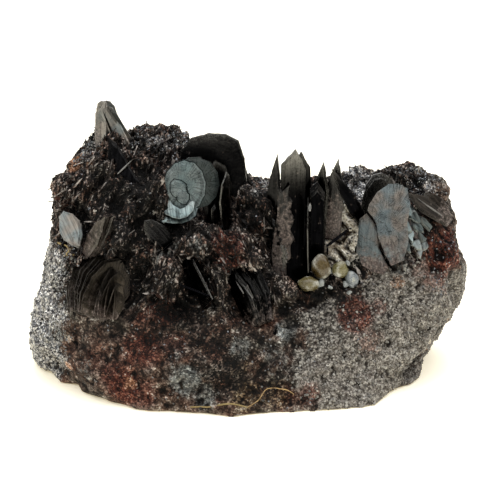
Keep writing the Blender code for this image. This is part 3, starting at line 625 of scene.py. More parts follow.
# Hollows pressed into the rock, and swells where the depth is negative: centre, radius, depth.
DENTS = (
    ((-28.2, -7.4, 30.4), 1.5, 1.3), ((-27.7, -7.9, 28.5), 1.5, 1.4), ((-27.0, -9.0, 26.6), 1.3, 1.0),
    ((-22.4, -12.6, 28.0), 1.1, 0.9), ((-23.6, -12.8, 25.6), 1.2, 1.0), ((-19.8, -5.9, 37.4), 1.7, 0.8),
    ((-18.0, -5.9, 35.8), 2.1, 0.9), ((-12.2, -10.3, 27.8), 1.9, 1.3), ((-9.0, -9.9, 28.1), 1.9, 1.2),
    ((-14.4, -10.9, 29.6), 1.3, 0.8), ((-13.8, -10.2, 34.6), 1.6, 1.0), ((4.0, -5.8, 23.6), 1.7, 0.9),
    ((5.4, -13.0, 14.9), 1.0, 0.8), ((6.9, -12.4, 15.5), 1.0, 0.8), ((8.4, -11.9, 16.0), 1.0, 0.8),
    ((10.0, -11.8, 15.7), 1.0, 0.8), ((11.5, -11.8, 15.4), 1.0, 0.8), ((13.0, -11.0, 15.9), 1.0, 0.7),
    ((31.0, -6.5, 19.4), 1.3, 0.9), ((31.6, -5.2, 21.6), 1.4, 0.9), ((31.6, -4.8, 23.8), 1.3, 0.8),
    ((33.2, -5.0, 2.6), 3.6, 1.8), ((32.8, -6.4, 8.2), 1.7, 1.1), ((-16.0, 2.0, 41.4), 5.0, 1.1),
    ((-11.4, 2.4, 40.6), 3.8, 1.0), ((26.0, 2.0, 34.6), 4.4, 1.7), ((17.6, 4.4, 33.4), 3.4, 1.8),
    ((-20.0, -12.6, 24.4), 1.6, 1.0), ((-16.6, -13.6, 22.4), 2.0, 1.1), ((-15.4, -9.4, 36.0), 1.6, -0.6),
    ((-8.2, -14.2, 26.9), 2.2, -0.6), ((-28.8, -11.6, 9.7), 2.2, -1.3), ((29.6, -8.0, 5.6), 1.8, -0.5),
    ((-19.0, -12.8, 20.0), 1.6, 1.0), ((-20.2, -13.6, 17.4), 1.4, 0.8), ((-11.6, -14.8, 16.4), 2.0, 1.0),
    ((-13.8, -15.8, 16.4), 1.8, 0.8), ((-22.0, -9.8, 32.0), 1.6, 1.0), ((-20.0, -11.8, 30.8), 1.6, 0.9),
    ((-17.6, -12.2, 29.0), 1.8, 1.0), ((-15.2, -11.0, 31.4), 1.5, 0.9), ((-24.6, -6.8, 36.0), 1.6, 0.8),
    ((-26.4, -9.6, 31.6), 1.6, -0.6), ((-23.0, -10.6, 29.4), 1.5, -0.7), ((-18.2, -9.6, 33.4), 1.7, -0.7),
    ((-26.8, -6.6, 34.4), 1.6, -0.6), ((-21.0, -12.6, 27.4), 1.5, -0.6), ((-16.6, -13.4, 25.6), 1.6, -0.6),
    ((2.4, -9.6, 25.4), 1.8, 0.8), ((-4.8, -9.0, 27.2), 1.6, 0.8), ((-24.6, -12.4, 23.6), 1.5, 0.8),
    ((23.0, 3.0, 35.0), 4.0, 1.3), ((27.0, 1.4, 34.8), 2.4, 0.8), ((16.6, 3.0, 34.6), 2.4, 1.1),
    ((29.2, 2.0, 32.5), 2.8, -1.2), ((31.4, 0.5, 31.0), 2.4, -0.8), ((36.4, -2.0, 13.0), 2.8, 1.6),
    ((28.6, -9.4, 1.6), 2.4, 1.6), ((31.0, -7.6, 2.0), 2.6, 1.4), ((-36.0, -2.0, 14.0), 2.2, -0.2),
    ((-2.5, -12.9, 20.4), 1.5, 1.6), ((-2.5, -12.9, 18.4), 1.5, 1.5), ((5.2, -12.4, 19.0), 2.6, -0.7),
    ((6.4, -12.2, 16.6), 2.4, -0.6), ((-5.6, -16.4, 21.0), 2.2, 0.5), ((0.4, -12.4, 23.6), 1.4, -0.8),
    ((2.4, -12.8, 21.8), 1.4, -0.9), ((4.0, -13.0, 20.0), 1.3, -0.8), ((17.8, 4.6, 35.0), 3.0, 1.2),
    ((33.6, -0.4, 28.8), 2.2, -0.3), ((-26.4, 0.4, 40.4), 2.4, 2.1), ((-28.0, 0.0, 37.4), 1.8, -0.5),
    ((-31.0, -2.0, 34.6), 1.8, -0.6), ((35.0, -4.4, 16.2), 2.4, 1.5), ((34.6, -2.8, 25.4), 2.6, 0.9),
    ((-34.4, -9.0, 2.6), 3.4, 1.1), ((-30.0, -13.4, 1.6), 2.6, 0.6), ((29.4, -9.0, 3.4), 2.4, 1.0),
    ((1.4, 0.6, 32.0), 2.4, 0.5), ((5.0, -2.0, 31.4), 2.0, 0.6), ((-14.6, 1.4, 42.0), 2.6, 0.4),
    ((18.0, 5.0, 33.6), 3.2, 1.0), ((26.1, 2.0, 34.2), 3.0, 0.8), ((28.4, -9.0, 0.6), 3.4, 1.4),
    ((34.8, -3.4, 3.4), 3.2, 1.4), ((36.6, -1.6, 13.4), 3.0, 1.2), ((36.0, -2.4, 9.4), 2.6, 1.2),
    ((-35.2, -9.0, 5.8), 3.0, 0.9), ((-33.8, -10.7, 3.0), 2.8, 0.8),
)
DENT_EDGE = (1.5, 1.2)  # the same of a dent


def weighed(places, spots, reach, fade):
    """How much of each round spot (centre, radius, strength) there is at points, spot by spot.

    A spot is whole up to reach - fade of its radius from its centre, and gone beyond reach.
    """
    for centre, radius, strength in spots:
        apart = np.linalg.norm(places - centre, axis=1)
        yield strength * smooth_step(reach - apart / radius, 0.0, fade)


def zones(places):
    """How much of each kind of surface there is at points in millimetres, 0 to 1."""
    x, y, z = places.T
    loose = soft_noise(places, 5.0, 1) + 0.6 * soft_noise(places, 1.8, 2)
    sugary = smooth_step(np.interp(x, *SUGAR_TOP) - z + 2.2 * loose, -1.0, 1.0)
    sugary *= smooth_step(x - SUGAR_LEFT + 5.0 * loose, -3.0, 3.0)
    silver = smooth_step(SILVER[1] - z + 4.0 * loose, -3.0, 3.0)
    silver *= smooth_step(SILVER[2] - y + 5.0 * loose, -3.0, 3.0)
    silver *= smooth_step(SILVER[0] - x + 2.0 * loose, -1.6, 1.6)
    sugary = np.maximum(sugary, 0.7 * silver)
    streaked = smooth_step(z + 3.0 * loose, 13.0, 19.0) * (1 - sugary)
    streaked *= 1 - 0.7 * smooth_step(x, 27.0, 31.0)
    second_run = smooth_step(x + 2.0 * loose, *GRAIN_TURNS)
    found = {"sugary": sugary, "silver": silver, "second_run": second_run, "streaked": streaked}
    for name, spots in PATCHES.items():
        total = found.get(name, np.zeros(len(places)))
        for share in weighed(places, spots, *PATCH_EDGE):
            total = np.maximum(total, share)
        found[name] = np.minimum(total, 1.0)
    return found


def closed_rock(settings):
    """The matrix solid with the gaps round its crystals closed, as one even mesh in metres."""
    bm = bmesh.new()
    bm.from_mesh(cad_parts["matrix"].data)
    bmesh.ops.remove_doubles(bm, verts=bm.verts, dist=0.001 * MM)
    mesh = bpy.data.meshes.new("rock stages")
    bm.to_mesh(mesh)
    bm.free()
    rough = linked("rock stages", mesh)
    voxel = ROCK_VOXEL * MM
    gap = GAP_CLOSED * MM
    for step, grow in ((voxel, gap), (voxel, -gap), (settings.rock_step, 0.0)):
        skin = rough.modifiers.new("skin", "REMESH")
        skin.mode = "VOXEL"
        skin.voxel_size = step
        swell = rough.modifiers.new("swell", "DISPLACE")
        swell.strength = grow
        swell.mid_level = 0.0
    finished = evaluated_mesh(rough)
    bpy.data.objects.remove(rough)
    return finished


def grain_way(lean):
    """The direction of blades that lean this many degrees to the right of up."""
    return np.array((sin(radians(lean)), 0.1, cos(radians(lean))))


def grow_relief(mesh):
    """Moves the rock's points along their normals: crags, grain, dents and, on the dark mass, ridges."""
    places = vertex_places(mesh)
    normals = np.array([vertex.normal for vertex in mesh.vertices])
    kinds = zones(places)
    width, size = CRAGS
    height = size * (1 - 0.6 * kinds["sugary"]) * ridged(soft_noise(places, width, CRAG_SEED))
    for number, (width, size) in enumerate(RELIEF):
        grain = soft_noise(places, width, RELIEF_SEED + number)
        height += size * (1 - 0.6 * kinds["streaked"]) * grain
    width, size = BLADED_BEND
    bend = size * np.stack([soft_noise(places, width, BEND_SEED + axis) for axis in range(3)], axis=1)
    shares = (1 - kinds["second_run"], kinds["second_run"])
    for share, (_, lean) in zip(shares, GRAIN_RUNS):
        way = grain_way(lean)
        drawn = places - np.outer(places @ way, way) * GRAIN_STRETCH + bend
        for number, (width, size) in enumerate(BLADED):
            ridges = ridged(soft_noise(drawn, width, BLADED_SEED + number))
            height += share * kinds["streaked"] * size * ridges
    height -= sum(weighed(places, DENTS, *DENT_EDGE), np.zeros(len(places)))
    moved = places + normals * (height * smooth_step(places[:, 2], *FOOT))[:, None]
    low, high = box_mm("matrix")
    mesh.vertices.foreach_set("co", (np.clip(moved, low, high) * MM).astype(np.float32).ravel())
    mesh.update()


def crevices(mesh):
    """How deep each point lies between its neighbours: -1 on a ridge, 1 in a crevice."""
    places = vertex_places(mesh)
    normals = np.array([vertex.normal for vertex in mesh.vertices])
    edges = np.empty(len(mesh.edges) * 2, np.int32)
    mesh.edges.foreach_get("vertices", edges)
    first, second = edges.reshape(-1, 2).T
    shared = np.bincount(edges, minlength=len(places))

    def around(values):
        total = np.zeros_like(values)
        np.add.at(total, first, values[second])
        np.add.at(total, second, values[first])
        return (total.T / shared).T

    smoothed = places
    for _ in range(CREVICE_REACH):
        smoothed = around(smoothed)
    depth = ((smoothed - places) * normals).sum(axis=1)
    return np.clip(depth / CREVICE, -1, 1)


class HEMATITE_OT_rock(Operator):
    """Grow the broken rock from the matrix solid"""

    bl_idname = "hematite.rock"
    bl_label = "Rock"

    def execute(self, context):
        settings = context.scene.hematite_specimen
        mesh = closed_rock(settings)
        grow_relief(mesh)
        piece = linked("rock", mesh)
        thin = piece.modifiers.new("fewer faces", "DECIMATE")
        thin.ratio = min(1.0, settings.rock_faces / (2 * len(mesh.polygons)))
        mesh = evaluated_mesh(piece)
        piece.modifiers.clear()
        piece.data = mesh
        for name, values in zones(vertex_places(mesh)).items():
            store(mesh, name, values)
        store(mesh, "crevice", crevices(mesh))
        mesh.polygons.foreach_set("use_smooth", np.ones(len(mesh.polygons), bool))
        mesh.set_sharp_from_angle(angle=SHARP)
        handed_over(piece, rock_material(), "rock", "matrix")
        return {"FINISHED"}


# ---------------------------------------------------------------- plates of hematite
# Outlines of plates, in halves of their width and height.
OUTLINES = {
    "blade": ((-1, -1), (1, -1), (1, 0.74), (-0.05, 1), (-1, 0.84)),
    "ragged": (
        (-0.9, -1), (0.3, -1), (0.1, -0.8), (0.5, -0.72), (0.35, -0.5), (0.8, -0.4), (0.65, -0.15),
        (1, -0.02), (0.55, 0.14), (0.85, 0.36), (0.35, 0.52), (0.55, 0.7), (0.05, 0.8), (0.2, 1),
        (-0.5, 0.84), (-1, 0.94), (-0.8, 0.4), (-1, -0.1), (-0.75, -0.5),
    ),
    "peaked": ((-1, -1), (1, -1), (1, 0.72), (0.6, 0.87), (0.14, 1), (-0.45, 0.9), (-1, 0.785)),
    "spindle": ((-0.5, -1), (0.6, -1), (1, -0.2), (0.7, 0.45), (0.1, 1), (-0.7, 0.4), (-1, -0.3)),
    "spear": ((-0.8, -1), (0.9, -1), (1, 0.3), (0.2, 1), (-0.5, 0.62), (-1, 0.2)),
    "leaf": (
        (-0.55, -1), (0.35, -1), (0.95, -0.35), (1, 0.2), (0.55, 0.8), (-0.1, 1), (-0.75, 0.65), (-1, 0.1),
        (-0.9, -0.5),
    ),
    "dome": (
        (-0.9, -1), (1, -1), (1, 0.2), (0.86, 0.72), (0.5, 0.93), (0, 1), (-0.55, 0.9), (-0.9, 0.55),
        (-1, 0),
    ),
    "shield": (
        (0.25, -1), (0.85, -0.85), (1, -0.4), (0.9, 0.1), (1, 0.5), (0.8, 0.9), (0.35, 1), (-0.1, 0.97),
        (-0.6, 0.76), (-0.95, 0.45), (-1, 0.3), (-0.55, 0), (-0.45, -0.3), (-0.1, -0.7),
    ),
    "half shield": (
        (0.7, -1), (0.9, -0.75), (0.25, -0.1), (0.15, 0.45), (-0.2, 0.75), (-0.6, 1), (-0.95, 0.8),
        (-1, -0.3), (-0.6, -0.75), (0, -0.95),
    ),
    "disc": tuple((cos(pi * (k + 0.4) / 6.5), sin(pi * (k + 0.4) / 6.5)) for k in range(13)),
    "lozenge": (
        (0.15, -1), (0.75, -0.55), (1, 0.1), (0.7, 0.6), (0.1, 1), (-0.5, 0.85), (-0.95, 0.2), (-0.9, -0.3),
        (-0.4, -0.75),
    ),
    "tooth": (
        (-0.35, -1), (0.6, -0.9), (1, -0.55), (0.5, -0.1), (0.05, 0.4), (-0.35, 0.75), (-0.85, 1),
        (-0.8, 0.3), (-0.75, -0.5),
    ),
    "crescent": (
        (-0.95, -0.35), (-0.55, -0.75), (-0.1, -1), (0.4, -0.85), (0.8, -0.35), (1, 0.5), (0.8, 0.62),
        (0.62, 0.3), (0.3, 0.02), (0, -0.05), (-0.2, 0.2), (-0.42, 0.42), (-0.62, 0.95), (-0.8, 0.7),
        (-0.72, 0.2), (-1, -0.05),
    ),
}
CHIP = 0.07  # depth of the nicks in a plate's rim
CHIP_DEPTHS = (0.4, 0.4, 1.0, 2.2)  # shares of it that nicks take
CHIP_STEP = 0.45  # distance between them
WARP = (5.0, 0.12)  # (width, height) of the waves in a plate
WARP_STEP = 1.3  # side of the flats that a wave is made of
RIM_BEVEL = 0.035  # width of the soft rim of a growth sheet
SHEET_OVERLAP = 0.015  # depth by which a sheet is sunk in the one under it
THICK = 0.45  # over this, the steps on a face are as deep as two sheets together, else as one
FRONT_STEPS = 4  # growth steps on a plate's front
BACK_STEPS = 2


@dataclass(frozen=True)
class Plate:
    """One plate of hematite, a stack of growth sheets.

    facing: where its front looks, 0 to the front of the specimen and 90 to its right.
    lean: how far its front looks up. roll: how far its top turns to its own right.
    bend: how far its two sides curl back from its middle. wear: how pale its faces are where
    rubbed, and on thin pale slivers a painted highlight line.
    edge: how pale its rim is painted, a painted highlight along the rim. shade: how much of its
    colour is left, 1 for all; near-black plates behind or between others paint shade as gaps and
    dark outlines.
    terraces: how far each growth sheet stands back from the one under it. nucleus: where it began,
    in halves of its size. radial: how much its striations spread from there, not along it.
    tip: how pale its top is, a painted highlight that grows towards the top. stain: how rusty it is
    below rusted, a height in halves of its own.
    """

    centre: tuple
    size: tuple
    facing: float = 0.0
    lean: float = 0.0
    roll: float = 0.0
    outline: str = "disc"
    thickness: float = 0.6
    bend: float = 0.0
    wear_and_highlight: float = 0.08
    edge: float = 0.45
    shade: float = 1.0
    terraces: float = 0.05
    nucleus: tuple = (0.0, 0.0)
    radial: float = None
    tip: float = 0.0
    stain: float = 0.0
    rusted: float = 0.2

    def turn(self):
        """The rotation that takes it from lying flat, front up and top to +Y, to its place."""
        return (
            Matrix.Rotation(radians(self.facing), 3, "Z")
            @ Matrix.Rotation(radians(90 - self.lean), 3, "X")
            @ Matrix.Rotation(radians(-self.roll), 3, "Z")
        )

    def start(self):
        """Where its growth began, from its middle in millimetres."""
        return Vector((self.nucleus[0] * self.size[0], self.nucleus[1] * self.size[1])) / 2

    def spread(self):
        """How radial its striations are: discs and domes are, where nothing else is said."""
        if self.radial is None:
            return float(self.outline in ("disc", "dome"))
        return self.radial


def splayed(first, count, step, turn, shrink, unrest):
    """A sheaf of plates: the middle of each foot is step away from the last one's foot.

    Each plate is turned by (facing, lean, roll) and shrunk from the last, so tips stand apart.
    unrest is how much, in degrees, each is also turned at random.
    """
    draw = random.Random(first.centre[0])
    sheaf = [first]
    for _ in range(count - 1):
        last = sheaf[-1]
        up = Vector((0.0, last.size[1] / 2, 0.0))
        foot = Vector(last.centre) - last.turn() @ up + Vector(step)
        turned = replace(
            last,
            size=tuple(side * shrink for side in last.size),
            facing=last.facing + turn[0],
            lean=last.lean + turn[1],
            roll=last.roll + turn[2],
        )
        centre = foot + turned.turn() @ up * shrink
        sheaf.append(replace(turned, centre=tuple(centre)))
    return tuple(
        replace(
            plate,
            facing=plate.facing + draw.uniform(-unrest, unrest),
            lean=plate.lean + draw.uniform(-unrest, unrest),
            size=(plate.size[0] * draw.uniform(1 - unrest / 30, 1), plate.size[1]),
            wear_and_highlight=plate.wear_and_highlight * draw.uniform(0.3, 1.7),
            edge=plate.edge * draw.uniform(0.3, 1.4),
        )
        for plate in sheaf
    )


def chipped_outline(plate, scale, seed):
    """The corners of one growth sheet, with small nicks along its rim."""
    start = plate.start()
    corners = [Vector((x * plate.size[0], y * plate.size[1])) / 2 for x, y in OUTLINES[plate.outline]]
    corners = [start + (corner - start) * scale for corner in corners]
    draw = random.Random(seed)
    points = []
    for corner, last in zip(corners, corners[1:] + corners[:1]):
        count = max(1, round((last - corner).length / CHIP_STEP))
        inward = Vector((corner.y - last.y, last.x - corner.x)).normalized()
        for number in range(count):
            nick = 0.0 if number == 0 else CHIP * draw.random() ** 2 * draw.choice(CHIP_DEPTHS)
            points.append(corner.lerp(last, number / count) + inward * nick)
    return points


def flat_sheet(plate, points, low, high):
    """One growth sheet lying flat, from low to high above the plate's middle, with a soft rim."""
    sheet = bmesh.new()
    sheet.faces.new([sheet.verts.new((point.x, point.y, low)) for point in points])
    for axis, side in enumerate(plate.size):
        normal = Vector((axis == 0, axis == 1, 0))
        steps = int(side / WARP_STEP / 2)
        for step in range(-steps, steps + 1):
            cut(sheet, normal * step * WARP_STEP, normal, dist=0.001)
    bmesh.ops.recalc_face_normals(sheet, faces=sheet.faces)
    extrude(sheet, sheet.faces[:], high - low)
    bmesh.ops.recalc_face_normals(sheet, faces=sheet.faces)
    ups = [(edge, [face.normal.z for face in edge.link_faces]) for edge in sheet.edges]
    rims = [edge for edge, up in ups if len(up) == 2 and abs(up[0] - up[1]) > 0.5]
    bmesh.ops.bevel(
        sheet, geom=rims, offset=RIM_BEVEL, segments=1, profile=0.5, affect="EDGES", material=-1,
        clamp_overlap=True,
    )
    return sheet


def dress_sheet(sheet, plate):
    """Keeps what the material reads: the way of growth, the pale of rubbed faces with the painted highlights
    on rims and tops, the shade and the rust.
    """
    growth = sheet.loops.layers.uv.new("growth")
    wear_and_highlight = sheet.loops.layers.float.new("wear_and_highlight")
    radial, shade, stain = (sheet.verts.layers.float.new(name) for name in ("radial", "shade", "stain"))
    half = Vector(plate.size).y / 2
    start = plate.start()
    spread = plate.spread()
    for vertex in sheet.verts:
        vertex[radial] = spread
        vertex[shade] = plate.shade
        vertex[stain] = plate.stain * max(0.0, plate.rusted - vertex.co.y / half)
    for face in sheet.faces:
        face.smooth = True
        for loop in face.loops:
            loop[growth].uv = loop.vert.co.xy - start
            up = max(loop.vert.co.y / half, 0.0)
            # Rims take the edge value and the top takes the tip value: both paint highlights.
            face_wear_and_highlight = plate.wear_and_highlight * (0.6 + 0.8 * up ** 3) + plate.tip * up ** 6
            loop[wear_and_highlight] = plate.edge if abs(face.normal.z) < 0.8 else face_wear_and_highlight


def add_sheet(bm, plate, scale, seed, low, high):
    """Adds one growth sheet of a plate: chipped, warped, bent and set in its place."""
    sheet = flat_sheet(plate, chipped_outline(plate, scale, seed), low, high)
    dress_sheet(sheet, plate)
    width, size = WARP
    drift = Vector(plate.centre) * 3.7
    half = Vector(plate.size).x / 2
    for vertex in sheet.verts:
        wave = size * noise.noise(Vector((vertex.co.x, vertex.co.y, 0)) / width + drift)
        vertex.co.z += wave - plate.bend * (vertex.co.x / half) ** 2
    place = Matrix.Translation(plate.centre) @ plate.turn().to_4x4()
    bmesh.ops.transform(sheet, matrix=place, verts=sheet.verts)
    bmesh.ops.triangulate(sheet, faces=[face for face in sheet.faces if len(face.verts) > 4])
    mesh = bpy.data.meshes.new("sheet")
    sheet.to_mesh(mesh)
    sheet.free()
    bm.from_mesh(mesh)
    bpy.data.meshes.remove(mesh)


def add_plate(bm, plate, sheet, seed):
    """Adds a plate: a full middle sheet, and smaller sheets that step back to both faces."""
    core = max(sheet, plate.thickness - 2 * sheet * (2 if plate.thickness > THICK else 1))
    add_sheet(bm, plate, 1.0, seed, -core / 2, core / 2)
    for side, count in ((1, FRONT_STEPS), (-1, BACK_STEPS)):
        step = (plate.thickness - core) / 2 / count
        scale = 1.0
        for number in range(count):
            scale -= plate.terraces * (1 + 0.8 * noise.noise(Vector((seed * 1.7, number * 3.1, side))))
            near = core / 2 + number * step - SHEET_OVERLAP
            far = core / 2 + (number + 1) * step
            add_sheet(bm, plate, scale, seed + 31 * number + side, *sorted((side * near, side * far)))


